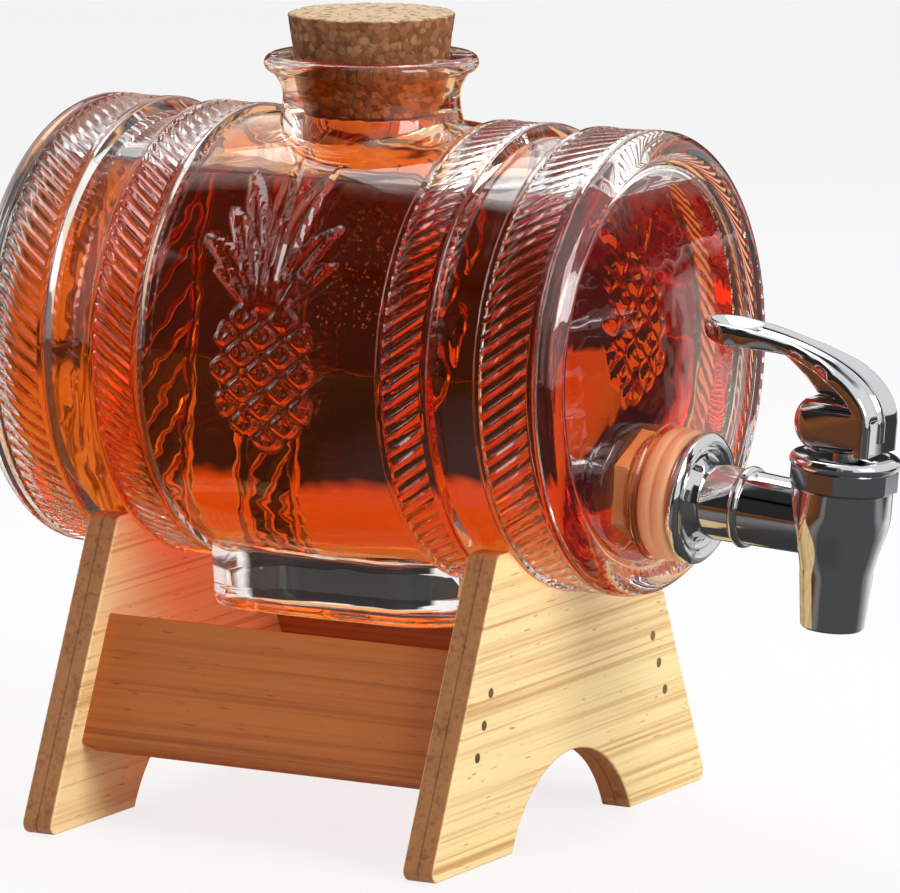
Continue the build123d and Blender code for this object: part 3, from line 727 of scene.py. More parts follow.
def reedTree():
    # lifts a hoop's points, so that its band gets a ring of sloping reeds with sharp crests
    tree, names = geometryTree("reedHoop", [("Reed Count", "Float"), ("Reed Height", "Float"),
                                            ("Reed Point", "Float"), ("Material", "Material")])
    add = partial(addNode, tree)
    work = partial(calculate, tree)

    def stored(label):
        return add("GeometryNodeInputNamedAttribute", {"Name": label}, data_type="FLOAT").outputs["Attribute"]

    def vector(operation, inputs):
        return add("VectorMath", inputs, operation=operation).outputs["Vector"]

    source = add("NodeGroupInput").outputs
    wave = work("COSINE", work("MULTIPLY", stored("reedAngle"), source["Reed Count"]))
    crest = work("POWER", work("MULTIPLY_ADD", wave, 0.5, 0.5), source["Reed Point"])
    rise = work("MULTIPLY", work("MULTIPLY", crest, source["Reed Height"]), stored("reedShare"))
    position = add("GeometryNodeInputPosition").outputs["Position"]
    outwards = vector("NORMALIZE", {0: vector("MULTIPLY", {0: position, 1: (0, 1, 1)})})
    offset = vector("SCALE", {0: outwards, "Scale": rise})
    moved = add("GeometryNodeSetPosition", {"Geometry": source["Geometry"], "Offset": offset})
    endTree(tree, moved.outputs["Geometry"], source["Material"])
    return tree, names


reeding = reedTree()


def reedHoop(ring, shares, angles):
    for label, values in (("reedShare", shares), ("reedAngle", angles)):
        ring.data.attributes.new(label, "FLOAT", "POINT").data.foreach_set("value", values)
    runTree(ring, *reeding, {
        "Reed Count": float(barrel["reeds"]), "Reed Height": barrel["reedHeight"],
        "Reed Point": barrel["reedPoint"], "Material": glassFinish})


def cavityProfile(swell):
    # (radius, along) of the space for the drink, made larger all round by swell
    wallRadius = barrel["grooveRadius"] - barrel["wall"] + swell
    innerDome = domeRadius - barrel["endWall"] + swell
    grooveEnd = barrel["outerHoop"][0]
    corner = barrel["cavityCorner"] + swell
    bulge = bellyTop - barrel["wall"] + swell - wallRadius
    along = np.linspace(0, grooveEnd, 15)
    half = [(wallRadius + bulge * (1 - (x / grooveEnd)**2), x) for x in along]
    cornerRadius = wallRadius - corner
    cornerX = domeCentre + math.sqrt((innerDome - corner)**2 - cornerRadius**2)
    half += [(cornerRadius + b, cornerX + a) for a, b in arc((0, 0), corner, 90, 6, 9)]
    for radius in cornerRadius * np.linspace(0.98, 0.02, 10):
        half.append((radius, domeCentre + math.sqrt(innerDome**2 - radius**2)))
    return [(r, -x) for r, x in reversed(half[1:])] + half


neck = {
    "radius": 0.0216,
    "lipRadius": 0.0262,
    "lipThickness": 0.0042,
    "flare": 0.0054,
    "rootFlare": 0.0035,
    "rootHeight": 0.0600,
    "mouth": 0.01912,
    "throat": 0.01701,
    "throatHeight": 0.0554,
    "flareStart": 0.046,
    "flareSpan": 0.012,
    "mouthEdge": 0.0008,
    "axis": 0.004,
    "inside": 0.030,
    "boreStart": 0.020,
    "aboveLip": 0.004,
}


def neckProfile():
    lipLow = lipAboveAxis - neck["lipThickness"]
    edge = neck["lipThickness"] / 2
    profile = [(neck["axis"], neck["inside"])]
    for height in np.linspace(neck["flareStart"], neck["rootHeight"], 8):
        share = (neck["rootHeight"] - height) / neck["flareSpan"]
        profile.append((neck["radius"] + neck["rootFlare"] * share**2, height))
    for share in np.linspace(0.15, 1, 6):
        radius = neck["radius"] + (neck["lipRadius"] - edge - neck["radius"]) * share**1.6
        profile.append((radius, lipLow - neck["flare"] * (1 - share)))
    profile += arc((neck["lipRadius"] - edge, lipLow + edge), edge, -75, 90, 12)
    profile += [(0.016, lipAboveAxis), (neck["axis"], lipAboveAxis)]
    return profile


def boreProfile():
    edge, throat, mouth = neck["mouthEdge"], neck["throat"], neck["mouth"]
    profile = [(throat, neck["boreStart"]), (throat, neck["throatHeight"]),
               (mouth - 0.0001, lipAboveAxis - edge), (mouth + 0.0002, lipAboveAxis - edge / 3),
               (mouth + edge, lipAboveAxis + 0.0001), (mouth + edge, lipAboveAxis + neck["aboveLip"])]
    return toAxis(profile, neck["axis"])


foot = {
    "length": 0.076,
    "width": 0.052,
    "corner": 0.019,
    "drop": 0.0094,
    "edge": 0.0016,
    "spread": 0.003,
    "intoBelly": 0.012,
    "recess": 0.0025,
    "ring": 0.006,
}


def footRing(inset, height, steps=14):
    # the foot's rounded oblong, drawn in by inset
    length, width = foot["length"] - 2 * inset, foot["width"] - 2 * inset
    corner = foot["corner"] - inset
    points = []
    for number, (sx, sy) in enumerate(((1, 1), (-1, 1), (-1, -1), (1, -1))):
        centre = (sx * (length / 2 - corner), sy * (width / 2 - corner))
        points += [(a, b, height) for a, b in arc(centre, corner, 90 * number, 90 * number + 90, steps)]
    return placed(points, barrelPlace)


def footBlock():
    bottom = -bellyTop - foot["drop"]
    edge = foot["edge"]
    rings = []
    for turn in np.radians(np.linspace(0, 90, 6)):
        rings.append(footRing(edge * (1 - math.sin(turn)), bottom + edge * (1 - math.cos(turn))))
    for share in np.linspace(0.2, 1, 6):
        height = bottom + edge + (foot["drop"] + foot["intoBelly"]) * share
        rings.append(footRing(-foot["spread"] * share**2, height))
    return stackRings("foot", np.array(rings))


def footRecess():
    bottom = -bellyTop - foot["drop"]
    steps = ((0, -0.002), (0, 0.0008), (0.0008, 0.0020), (0.003, foot["recess"]))
    rings = [footRing(foot["ring"] + inset, bottom + height) for inset, height in steps]
    return stackRings("recess", np.array(rings))


tapSeat = {
    "axis": 0.001,
    "boss": 0.017,
    "bossEdge": 0.0006,
    "hole": 0.0087,
    "holeSpan": (-0.010, 0.005),
    "nutRoom": 0.0145,
    "nutRoomEnd": -0.022,
    "wall": 0.0047,
}


def roomProfile(swell):
    # the room that the nut has behind the tap's hole
    return disc(tapSeat["nutRoom"] + swell, tapSeat["nutRoomEnd"], swell - tapSeat["wall"], tapSeat["axis"])


def makeGlass():
    glass = barrelSkin()
    for side in (-1, 1):
        for hoop in ("innerHoop", "outerHoop"):
            combine(glass, hoopRing(*barrel[hoop], side), "UNION")
    combine(glass, lathe("neck", neckProfile(), barrelPlace, 128), "UNION")
    combine(glass, footBlock(), "UNION")
    half = tapSeat["wall"] / 2
    boss, edge = tapSeat["boss"], tapSeat["bossEdge"]
    bossProfile = toAxis([(boss, -half), (boss, -edge), (boss - edge, 0)], tapSeat["axis"])
    combine(glass, lathe("boss", bossProfile, pipeFrame), "UNION")
    combine(glass, footRecess(), "DIFFERENCE")
    combine(glass, lathe("cavity", cavityProfile(0), barrelFrame, 128), "DIFFERENCE")
    combine(glass, lathe("bore", boreProfile(), barrelPlace, 128), "DIFFERENCE")
    combine(glass, lathe("nutRoom", roomProfile(0), pipeFrame), "DIFFERENCE")
    hole = disc(tapSeat["hole"], *tapSeat["holeSpan"], tapSeat["axis"])
    combine(glass, lathe("tapHole", hole, pipeFrame, 64), "DIFFERENCE")
    smooth(glass, 40)
    finish(glass, glassFinish, "barrel", "glass", "glass_barrel")
    return glass


glass = makeGlass()
print("glass barrel made:", len(glass.data.polygons), "faces")


# the drink, up to its level, just into the glass so that no film of air shows between them

drink = {"level": 0.0422, "overlap": 0.0002}


def makeDrink():
    piece = lathe("drink", cavityProfile(drink["overlap"]), barrelFrame, 128)
    combine(piece, lathe("drinkByNut", roomProfile(drink["overlap"]), pipeFrame), "UNION")
    with editing(piece.data) as build:
        cut = bmesh.ops.bisect_plane(
            build, geom=build.verts[:] + build.edges[:] + build.faces[:],
            plane_co=barrelPlace @ Vector((0, 0, drink["level"])), plane_no=(0, 0, 1), clear_outer=True)
        rim = [part for part in cut["geom_cut"] if isinstance(part, bmesh.types.BMEdge)]
        bmesh.ops.contextual_create(build, geom=rim)
        bmesh.ops.recalc_face_normals(build, faces=build.faces)
    smooth(piece, 40)
    finish(piece, drinkFinish, "barrel", None)


makeDrink()
print("drink made")


# bubbles that cling inside the drink, beside the fruit

bubbles = {
    "from": (0.013, 0.010),
    "to": (0.032, 0.044),
    "under": 0.0018,
    "spread": 0.010,
    "count": 260,
    "radius": (0.00010, 0.00032),
    "rows": 8,
    "seed": 7,
}


def bubbleTree():
    tree, names = geometryTree("drinkBubbles", [
        ("Density", "Float"), ("Least Radius", "Float"), ("Most Radius", "Float"), ("Spread", "Vector"),
        ("Seed", "Int"), ("Material", "Material")])
    add = partial(addNode, tree)
    source = add("NodeGroupInput").outputs
    seed = source["Seed"]
    points = add("GeometryNodeDistributePointsOnFaces",
                 {"Mesh": source["Geometry"], "Density": source["Density"], "Seed": seed})
    deep = add("FunctionNodeRandomValue", {"Min": (0, 0, 0), "Max": source["Spread"], "Seed": seed},
               data_type="FLOAT_VECTOR")
    scattered = add("GeometryNodeSetPosition",
                    {"Geometry": points.outputs["Points"], "Offset": deep.outputs[0]})
    ball = add("GeometryNodeMeshIcoSphere", {"Radius": 1.0, "Subdivisions": 2})
    size = add("FunctionNodeRandomValue", {2: source["Least Radius"], 3: source["Most Radius"], "Seed": seed},
               data_type="FLOAT")
    balls = add("GeometryNodeInstanceOnPoints",
                {"Points": scattered.outputs["Geometry"], "Instance": ball.outputs["Mesh"],
                 "Scale": size.outputs[1]})
    endTree(tree, balls.outputs["Instances"], source["Material"])
    return tree, names


def makeBubbles():
    material, *_ = newMaterial("drinkBubble", Base_Color=(1, 1, 1, 1), Roughness=0.0, IOR=1.33,
                               Transmission_Weight=1.0)
    (startX, startUp), (endX, endUp) = bubbles["from"], bubbles["to"]
    radius = bellyTop - barrel["wall"] - bubbles["under"]
    rows = []
    for up in np.linspace(startUp, endUp, bubbles["rows"]):
        turn = up / bellyTop
        rows += [(x, -radius * math.cos(turn), radius * math.sin(turn)) for x in (startX, endX)]
    firsts = range(0, 2 * bubbles["rows"] - 2, 2)
    faces = [(first, first + 1, first + 3, first + 2) for first in firsts]
    piece = addPiece("drinkBubbles", placed(rows, barrelPlace), faces)
    area = (endX - startX) * (endUp - startUp)
    least, most = bubbles["radius"]
    runTree(piece, *bubbleTree(), {
        "Density": bubbles["count"] / area, "Least Radius": least, "Most Radius": most,
        "Spread": (0, bubbles["spread"], 0), "Seed": bubbles["seed"], "Material": material})
    smooth(piece, 180)
    finish(piece, material, "barrel", None)
    print("bubbles made:", len(piece.data.polygons), "faces")


makeBubbles()


# cork: a tapered plug with crumbly edges and pits

cork = {
    "top": 0.0204,
    "end": 0.01686,
    "inNeck": 0.015,
    "above": 0.0102,
    "edge": 0.0010,
    "pit": 0.0005,
    "pitScale": 420,
    "segments": 200,
}


def makeCork():
    low = lipAboveAxis - cork["inNeck"]
    high = lipAboveAxis + cork["above"]
    profile = [(r, low) for r in np.linspace(0.002, cork["end"] - cork["edge"], 10)]
    profile += [(cork["end"], low + cork["edge"])]
    for share in np.linspace(0.03, 0.96, 40):
        profile.append((cork["end"] + (cork["top"] - cork["end"]) * share, low + (high - low) * share))
    profile += [(cork["top"] - cork["edge"] * (1 - math.cos(a)), high - cork["edge"] * (1 - math.sin(a)))
                for a in np.linspace(0.2, math.pi / 2, 5)]
    profile += [(r, high) for r in np.linspace(cork["top"] - cork["edge"] * 1.3, 0.0006, 30)]
    piece = lathe("cork", profile, barrelPlace, cork["segments"])
    smooth(piece, 180)
    normals = [vertex.normal.copy() for vertex in piece.data.vertices]
    for vertex, normal in zip(piece.data.vertices, normals):
        place = vertex.co * cork["pitScale"]
        pit = max(0, noise.noise(place) - 0.12) * 1.8 + max(0, noise.noise(place * 2.7) - 0.25)
        vertex.co -= normal * cork["pit"] * min(pit, 1)
    piece.data.update()
    finish(piece, corkFinish, "cork", "cork", "cork_stopper")


makeCork()
print("cork made")


# tap, turned parts: (radius, height) profiles

tap = {
    "shank": 0.0079,
    "shankEnd": -0.0182,
    "gasket": 0.008,
    "pipeRoot": 0.0092,
    "pipeTip": 0.0083,
    "bead": (0.0225, 0.0099, 0.0026),
    "pipeBore": 0.005,
    "flange": ((0.0150, 0), (0.0157, 0.0004), (0.0160, 0.0013), (0.0158, 0.0024), (0.0151, 0.0031),
               (0.0142, 0.0034), (0.0134, 0.0031), (0.0130, 0.0025), (0.0128, 0.0023), (0.0124, 0.0026),
               (0.0119, 0.0027), (0.0114, 0.0023), (0.0110, 0.0019), (0.0104, 0.0020), (0.0098, 0.0028),
               (0.0094, 0.0040)),
    "flangeDepth": 0.0050,
}


def pipeProfile():
    seat = tap["gasket"]
    beadAt, beadRadius, beadWidth = tap["bead"]
    flange = [(tap["shank"], seat)] + [(radius, seat + out) for radius, out in tap["flange"]]
    root = seat + tap["flangeDepth"]

    def pipeRadius(z):
        share = (z - root) / (valveReach - root)
        return tap["pipeRoot"] + (tap["pipeTip"] - tap["pipeRoot"]) * share

    profile = [(tap["shank"] - 0.0006, tap["shankEnd"]), (tap["shank"], tap["shankEnd"] + 0.0006)] + flange
    profile += [(pipeRadius(z), z) for z in (root, root + 0.0003, beadAt - beadWidth / 2 - 0.0003)]
    profile += [(pipeRadius(beadAt - beadWidth / 2), beadAt - beadWidth / 2)]
    for a in np.linspace(0.15, math.pi - 0.15, 9):
        z = beadAt - beadWidth / 2 * math.cos(a)
        profile.append((pipeRadius(z) + (beadRadius - pipeRadius(beadAt)) * math.sin(a), z))
    profile += [(pipeRadius(z), z) for z in np.linspace(beadAt + beadWidth / 2, valveReach, 4)]
    return toAxis(profile)


valve = {
    "spout": (-0.0252, 0.0076),
    "spoutNeck": (-0.0125, 0.0087),
    "swell": (0.0035, 0.0119),
    "shoulder": 0.0090,
    "neckRadius": 0.0104,
    "top": 0.0136,
    "chamber": 0.0086,
    "seat": (-0.0060, 0.0044),
    "outlet": 0.0060,
}


def valveProfile():
    spoutZ, spoutRadius = valve["spout"]
    neckZ, neckRadius = valve["spoutNeck"]
    swellZ, swellRadius = valve["swell"]
    profile = [(spoutRadius - 0.0005, spoutZ), (spoutRadius, spoutZ + 0.0005)]
    profile += [(spoutRadius + (neckRadius - spoutRadius) * share, spoutZ + (neckZ - spoutZ) * share)
                for share in (0.35, 0.7)]
    for share in np.linspace(0, 1, 12):
        radius = neckRadius + (swellRadius - neckRadius) * easeInOut(share)
        profile.append((radius, neckZ + (swellZ - neckZ) * share))
    shoulder, top = valve["shoulder"], valve["top"]
    profile += [(swellRadius, shoulder - 0.0004), (swellRadius - 0.0004, shoulder),
                (valve["neckRadius"], shoulder), (valve["neckRadius"], top)]
    return toAxis(profile)


def valveBore():
    spoutZ = valve["spout"][0]
    seatZ, seatRadius = valve["seat"]
    return toAxis([(valve["outlet"], spoutZ - 0.004), (valve["outlet"], spoutZ),
                   (seatRadius, seatZ - seatRadius), (seatRadius, seatZ),
                   (valve["chamber"], seatZ), (valve["chamber"], valve["top"] + 0.002)])


def makeTapBody():
    body = lathe("tapBody", pipeProfile(), pipeFrame, 160)
    combine(body, lathe("valveBody", valveProfile(), valveFrame, 160), "UNION")
    combine(body, lathe("valveBore", valveBore(), valveFrame, 96), "DIFFERENCE")
    bore = disc(tap["pipeBore"], tap["shankEnd"] - 0.002, valveReach)
    combine(body, lathe("pipeBore", bore, pipeFrame, 96), "DIFFERENCE")
    smooth(body, 32)
    finish(body, chromeFinish, "barrel", "chrome", "tap_body")


bonnet = {
    "flats": 12,
    "flatRadius": 0.0126,
    "low": 0.0090,
    "flatTop": 0.0140,
    "lipRadius": 0.0133,
    "lipEdge": 0.0017,
    "top": 0.0174,
    "bore": 0.0105,
    "ceiling": 0.0144,
    "stem": 0.0031,
}


def makeBonnet():
    low, flatTop, top = bonnet["low"], bonnet["flatTop"], bonnet["top"]
    flatRadius, lip = bonnet["flatRadius"], bonnet["lipRadius"]
    flatBand = [(bonnet["bore"] - 0.002, low), (flatRadius - 0.0003, low), (flatRadius, low + 0.0003),
                (flatRadius, flatTop - 0.0002), (bonnet["bore"] - 0.002, flatTop - 0.0002)]
    cap = lathe("tapBonnet", toAxis(flatBand), valveFrame, 192, flats=bonnet["flats"])
    edge = bonnet["lipEdge"]
    middle = flatTop - 0.0004 + edge
    ringProfile = [(flatRadius - 0.0004, flatTop - 0.0006)]
    ringProfile += arc((lip - edge, middle), edge, -80, 90, 12)
    ringProfile += [(lip - edge - 0.0010, top - 0.0003), (lip - edge - 0.0014, top - 0.0006)]
    combine(cap, lathe("bonnetLip", toAxis(ringProfile), valveFrame, 192), "UNION")
    inside = [(bonnet["bore"], low - 0.002), (bonnet["bore"], bonnet["ceiling"]),
              (bonnet["stem"], bonnet["ceiling"]), (bonnet["stem"], top + 0.003)]
    combine(cap, lathe("bonnetInside", toAxis(inside), valveFrame, 96), "DIFFERENCE")
    smooth(cap, 28)
    finish(cap, chromeFinish, "barrel", "chrome", "bonnet")


gasket = {"inner": 0.0080, "outer": 0.0160, "thickness": 0.008, "edge": 0.002, "lineDepth": 0.00025}


def makeGasket():
    edge, thick = gasket["edge"], gasket["thickness"]
    outer = arc((gasket["outer"] - edge, edge), edge, -90, 0, 8)
    for z in np.linspace(edge * 1.1, thick - edge * 1.1, 19):
        dent = gasket["lineDepth"] * max(0, math.cos(2 * math.pi * (z / thick - 0.5)))**8
        outer.append((gasket["outer"] - dent, z))
    outer += arc((gasket["outer"] - edge, thick - edge), edge, 0, 90, 8)
    profile = [(gasket["inner"], 0.00005)] + outer + [(gasket["inner"], thick - 0.00005)]
    piece = lathe("tapGasket", profile, pipeFrame, 128, looped=True)
    smooth(piece, 50)
    finish(piece, siliconeFinish, "barrel", "silicone", "tap_gasket")


makeTapBody()
makeBonnet()
makeGasket()
print("tap body, bonnet and gasket made")


# lever, in the plane of the tap: out along the tap, and up, both from its pin

lever = {
    "tip": (-0.0390, 0.0197),
    "front": 0.0092,
    "skirt": -0.0064,
    "pullTip": 0.0300,
    "pullFront": 0.0120,
    "widths": ((0.0072, 0.0144), (0.012, 0.0136), (0.024, 0.0114), (0.032, 0.0135), (0.040, 0.0170)),
    "edge": 0.0012,
    "depths": ((0, 0.0024), (0.003, 0.0042), (0.008, 0.0054), (0.015, 0.0046), (0.024, 0.0034),
               (0.046, 0.0040)),
    "dimple": (0.0085, 0.0075, 0.0020),
    "topSink": (0.0005, 0.012, 0.004),
    "ribWidth": 0.0040,
    "ribSink": 0.001,
    "ribEnds": (0.014, 0.002),
    "ribDepths": ((0.014, 0.0032), (0.0226, 0.0045), (0.0285, 0.0068), (0.035, 0.0095), (0.050, 0.0062)),
    "cam": (-0.0040, 0.0070, 0.0054),
    "cheekEdge": 0.0024,
    "cheekHalf": 0.0085,
    "cheekFoot": -0.0060,
    "slot": (-0.0120, 0.0048, 0.0036, 0.00325),
}


def bezier(p0, p1, p2, p3, steps):
    t = np.linspace(0, 1, steps)[:, None]
    a, b, c, d = (np.array(p) for p in (p0, p1, p2, p3))
    return (1 - t)**3 * a + 3 * t * (1 - t)**2 * b + 3 * t * t * (1 - t) * c + t**3 * d


def leverLine():
    # the lever's top line, from its tip, over its shoulder and down its front
    tip, front = lever["tip"], lever["front"]
    curve = bezier(tip, (tip[0] + lever["pullTip"], tip[1]), (front, lever["pullFront"]), (front, 0), 90)
    skirt = [(front, z) for z in np.linspace(0, lever["skirt"], 8)[1:]]
    return np.vstack([curve, skirt])


def leverSection(width, depth, sink):
    # a rounded oblong with a sunk top: across, and down from the top line
    edge = min(lever["edge"], 0.45 * width, 0.45 * depth)
    flat = width / 2 - edge
    points = [(a * flat, sink * (1 - a * a)**1.5) for a in np.linspace(-1, 1, 21)]
    points += arc((flat, edge), edge, -72, 0, 5)
    points += arc((flat, depth - edge), edge, 0, 90, 6)
    points += [(a * flat, depth) for a in np.linspace(0.75, -0.75, 7)]
    points += arc((-flat, depth - edge), edge, 90, 180, 6)
    points += arc((-flat, edge), edge, 180, 252, 5)
    return np.array(points)


def sweepLever(name, line, widths, depths, sinks):
    step = np.gradient(line, axis=0)
    step /= np.linalg.norm(step, axis=1)[:, None]
    inward = np.stack([step[:, 1], -step[:, 0]], axis=1)
    rings = []
    for place, side, width, depth, sink in zip(line, inward, widths, depths, sinks):
        section = leverSection(width, depth, sink)
        flat = place[None, :] + side[None, :] * section[:, 1:2]
        rings.append(np.stack([flat[:, 0], section[:, 0], flat[:, 1]], axis=1))
    return stackRings(name, placed(np.array(rings), leverFrame))


def leverCam():
    # half a moon under the strap, flat on top, with rounded cheeks
    middle, size, top = lever["cam"]
    edge, half, low = lever["cheekEdge"], lever["cheekHalf"], lever["cheekFoot"]
    turns = np.radians(np.linspace(90, 0, 6))
    cheek = [(half - edge * (1 - math.sin(a)), edge * (1 - math.cos(a))) for a in turns]
    rings = []
    for across, inset in [(-y, inset) for y, inset in cheek] + cheek[::-1]:
        moon = arc((middle, 0), size - inset, 180 - math.degrees(math.asin((top - inset) / size)), 285, 40)
        front = lever["front"] - 0.002
        outline = moon + [(front, low + inset), (front, top - inset)]
        rings.append([(x, across, z) for x, z in outline])
    return stackRings("leverCam", placed(np.array(rings), leverFrame))


def makeLever():
    line = leverLine()
    along = np.concatenate([[0], np.cumsum(np.linalg.norm(np.diff(line, axis=0), axis=1))])
    padEnd, padWidth = lever["widths"][0]
    fromMiddle = np.clip(1 - along / padEnd, 0, 0.996)
    places, widths = zip(*lever["widths"])
    shares = np.interp(along, places, np.arange(len(places)))
    steps = shares.astype(int)
    after = np.minimum(steps + 1, len(places) - 1)
    widths = np.array(widths)
    eased = widths[steps] + (widths[after] - widths[steps]) * easeInOut(shares - steps)
    widths = np.where(along < padEnd, padWidth * np.sqrt(1 - fromMiddle**2.4), eased)
    depths = np.interp(along, *zip(*lever["depths"]))
    dimpleAt, dimpleReach, dimpleDepth = lever["dimple"]
    dimple = dimpleDepth * np.clip(1 - ((along - dimpleAt) / dimpleReach)**2, 0, 1)
    sinkDepth, sinkFrom, sinkReach = lever["topSink"]
    sinks = np.maximum(dimple, sinkDepth * np.clip((along - sinkFrom) / sinkReach, 0, 1))
    piece = sweepLever("tapLever", line, widths, depths, sinks)
    ribStart, ribStop = lever["ribEnds"]
    ribbed = (along > ribStart) & (along < along[-1] - ribStop)
    ribDepths = np.interp(along[ribbed], *zip(*lever["ribDepths"]))
    ones = np.ones(ribbed.sum())
    rib = sweepLever("leverRib", line[ribbed], lever["ribWidth"] * ones, ribDepths, lever["ribSink"] * ones)
    combine(piece, rib, "UNION")
    combine(piece, leverCam(), "UNION")
    slotBack, slotFront, slotTop, slotHalf = lever["slot"]
    rings = [[(x, y, z) for x, y in ((slotBack, -slotHalf), (slotFront, -slotHalf), (slotFront, slotHalf),
                                     (slotBack, slotHalf))] for z in (-0.012, slotTop)]
    combine(piece, stackRings("leverSlot", placed(np.array(rings), leverFrame)), "DIFFERENCE")
    smooth(piece, 32)
    finish(piece, chromeFinish, "lever", "chrome", "tap_lever")


makeLever()
print("lever made")


# the return spring, which closes up under the bonnet as the stem rises, is kept here as the CAD part's fixed
# shape

spring = {"stemTravel": 0.0016, "mergeGap": 1e-6}


def makeSpring():
    mesh = nodes["return_spring"].data.copy()
    with editing(mesh) as build:
        bmesh.ops.remove_doubles(build, verts=build.verts, dist=spring["mergeGap"])
    piece = addObject("returnSpring", mesh)
    smooth(piece, 40)
    finish(piece, steelFinish, "barrel", "steel", "return_spring")
    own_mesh(piece)


makeSpring()
print("spring made")


# the CAD pieces that stay as they are

for name, material in {
    "front_panel": panelFinish, "rear_panel": panelFinish, "near_rail": railFinish, "far_rail": railFinish,
    "rail_brads": bradFinish, "inner_gasket": siliconeFinish, "shank_washer": steelFinish,
    "lock_nut": nylonFinish, "bonnet_seal": siliconeFinish, "stem_seal": siliconeFinish,
    "valve_stem": steelFinish, "valve_plug": siliconeFinish, "lever_pin": steelFinish,
}.items():
    mesh = nodes[name].data
    mesh.materials.clear()
    mesh.materials.append(material)


# studio

studio = {
    "floorSize": 6.0,
    "floorGlow": 0.8,
    "worldLight": 0.40,
    "bounces": 40,
    "glossyBounces": 20,
    "clearBounces": 24,
    "lamps": (
        ("keyBox", (1.35, -0.25, 0.80), 0.7, 15.0),
        ("topBox", (-0.25, 0.35, 1.2), 0.8, 7.0),
        ("leftBox", (-1.2, -0.3, 0.5), 0.4, 2.0),
    ),
    "flagEdge": 0.8,
    "softEdge": {"warmCard": 0.35},
    "colours": {
        "black": (0, 0, 0),
        "amber": (0.30, 0.10, 0.028),
        "glow": (1.0, 0.50, 0.20),
        "bright": (1.0, 0.98, 0.94),
    },
    "flags": (
        # name, place, width and height, facing, turn, colour, cover
        ("backFlag", (-0.70, 1.20, 0.24), (1.8, 0.70), (0, 1, 0), 0, "black", 0.97),
        ("behindFlag", (-0.55, 0.58, 0.002), (1.4, 1.4), (0, 0, 1), 0, "black", 0.94),
        ("neckCard", (-0.115, 0.16, 0.150), (0.16, 0.060), (0.49, -0.86, 0), 0, "glow", 1.0),
        ("sideFlag", (0.70, 0.80, 0.003), (1.0, 1.4), (0, 0, 1), 0, "black", 0.94),
        ("hoopStrip", (0.335, 0.70, 0.004), (0.12, 1.3), (0, 0, 1), -29.6, "bright", 1.0),
        ("endFlag", (1.00, 1.45, 0.00), (1.3, 0.26), (-0.5, -0.86, 0), 0, "black", 0.94),
        ("glowCard", (0.95, 1.40, 0.62), (1.4, 1.1), (-0.5, -0.86, 0), 0, "bright", 1.0),
        ("frontFlag", (-0.55, -1.25, 0.62), (2.4, 1.76), (0, 1, 0), 0, "black", 0.97),
        ("overFlag", (-0.75, -0.75, 1.25), (1.3, 1.66), (0, 0, -1), 0, "black", 0.97),
        ("rightFlag", (0.85, -1.25, 0.35), (1.0, 0.9), (0, 1, 0), 0, "black", 0.9),
        ("floorFlag", (0.43, -0.62, 0.002), (1.0, 1.72), (0, 0, 1), 0, "black", 0.90),
        ("warmUnder", (-0.55, -0.62, 0.003), (1.19, 1.72), (0, 0, 1), 0, "black", 0.97),
        ("warmCard", (-0.55, -0.55, 0.004), (1.19, 1.50), (0, 0, 1), 0, "amber", 1.0),
    ),
}


squareCorners = ((-1, -1), (1, -1), (1, 1), (-1, 1))


def seenDirectly(tree):
    # 1 for what the camera sees, by itself, in a mirror or through glass
    path = addNode(tree, "LightPath").outputs
    indirect = calculate(tree, "MAXIMUM", path["Is Glossy Ray"], path["Is Transmission Ray"])
    return calculate(tree, "MAXIMUM", path["Is Camera Ray"], indirect)


def makeFloor():
    half = studio["floorSize"] / 2
    floor = addPiece("floor", [(a * half, b * half, 0) for a, b in squareCorners], [(0, 1, 2, 3)])
    material, tree, shader, output = newMaterial("paleFloor", Base_Color=(0.9, 0.9, 0.9, 1), Roughness=0.9)
    glow = addNode(tree, "Emission", {"Color": (1, 1, 1, 1), "Strength": 1.0})
    share = calculate(tree, "MULTIPLY", seenDirectly(tree), studio["floorGlow"])
    mixSurfaces(tree, output, share, shader, glow)
    floor.data.materials.append(material)


def makeWorld():
    world = bpy.data.worlds.new("paleStudio")
    bpy.context.scene.world = world
    world.use_nodes = True
    tree = world.node_tree
    tree.nodes.clear()
    strength = remap(tree, seenDirectly(tree), 0.0, 1.0, studio["worldLight"], 1.0)
    back = addNode(tree, "Background", {"Color": (1, 1, 1, 1), "Strength": strength})
    output = addNode(tree, "OutputWorld")
    tree.links.new(back.outputs["Background"], output.inputs["Surface"])


def aimed(place, target=(0, 0, 0.1)):
    return (Vector(target) - Vector(place)).to_track_quat("-Z", "Y").to_euler()


def makeLamps():
    for name, place, size, power in studio["lamps"]:
        data = bpy.data.lights.new(name, "AREA")
        data.size = size
        data.energy = power
        lamp = addObject(name, data)
        lamp.location = place
        lamp.rotation_euler = aimed(place)


def flagMaterial():
    material, tree, shader, output = newMaterial("studioFlag")
    tree.nodes.remove(shader)
    cover = addNode(tree, "Attribute", attribute_name="cover").outputs["Fac"]
    tint = addNode(tree, "Attribute", attribute_name="tint").outputs["Color"]
    card = addNode(tree, "Emission", {"Color": tint, "Strength": 1.0})
    clear = addNode(tree, "BsdfTransparent")
    mixSurfaces(tree, output, cover, clear, card)
    return material


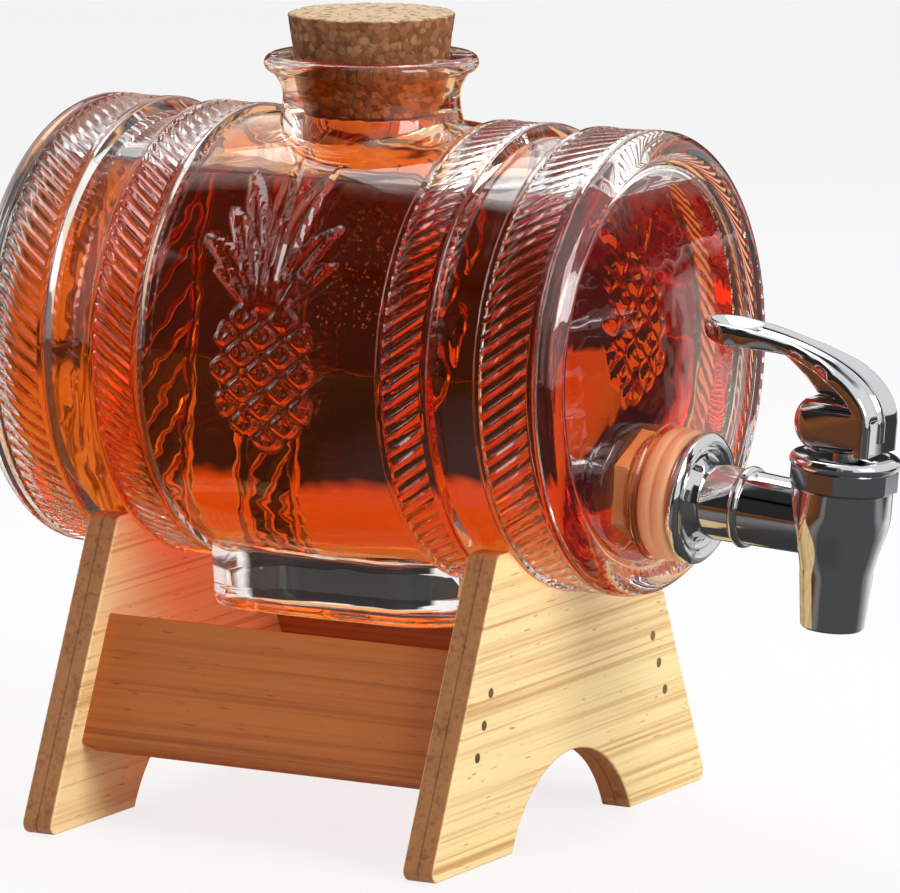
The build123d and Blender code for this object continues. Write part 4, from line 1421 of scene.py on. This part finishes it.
def makeFlags():
    # cards with soft edges, unseen by the camera, that give glass and chrome their dark and warm lines
    material = flagMaterial()
    faces = [(0, 1, 2, 3)] + [(side, (side + 1) % 4, (side + 1) % 4 + 4, side + 4) for side in range(4)]
    for name, place, (width, height), facing, turn, colour, cover in studio["flags"]:
        turned = Matrix.Rotation(math.radians(turn), 3, "Z")
        stand = Vector(facing).to_track_quat("Z", "Y").to_matrix() @ turned
        corners = [Vector((a * width / 2, b * height / 2, 0)) for a, b in squareCorners]
        edge = studio["softEdge"].get(name, studio["flagEdge"])
        corners = [corner * edge for corner in corners] + corners
        flag = addPiece(name, [Vector(place) + stand @ corner for corner in corners], faces)
        covers = [cover] * 4 + [0.0] * 4
        tints = [*studio["colours"][colour], 1.0] * 8
        flag.data.attributes.new("cover", "FLOAT", "POINT").data.foreach_set("value", covers)
        flag.data.attributes.new("tint", "FLOAT_COLOR", "POINT").data.foreach_set("color", tints)
        flag.data.materials.append(material)
        flag.visible_camera = False
        flag.visible_diffuse = False
        flag.visible_shadow = False


view = {"azimuth": 29.57, "elevation": 9.68, "distance": 1.866, "target": (-0.0082, 0, 0.0919), "lens": 306.6}


def makeCamera():
    data = bpy.data.cameras.new("camera")
    data.sensor_width = 36
    data.lens = view["lens"]
    camera = addObject("camera", data)
    a, e = math.radians(view["azimuth"]), math.radians(view["elevation"])
    back = Vector((math.sin(a) * math.cos(e), -math.cos(a) * math.cos(e), math.sin(e)))
    camera.location = Vector(view["target"]) + back * view["distance"]
    camera.rotation_euler = (-back).to_track_quat("-Z", "Y").to_euler()
    bpy.context.scene.camera = camera


def letLightThrough():
    # a ray through glass and drink meets many walls, and would end black at the usual limits
    paths = bpy.context.scene.cycles
    paths.max_bounces = studio["bounces"]
    paths.transmission_bounces = studio["bounces"]
    paths.glossy_bounces = studio["glossyBounces"]
    paths.transparent_max_bounces = studio["clearBounces"]


makeFloor()
makeWorld()
makeLamps()
makeFlags()
makeCamera()
bpy.context.scene.view_settings.view_transform = "Standard"
letLightThrough()
print("studio made")
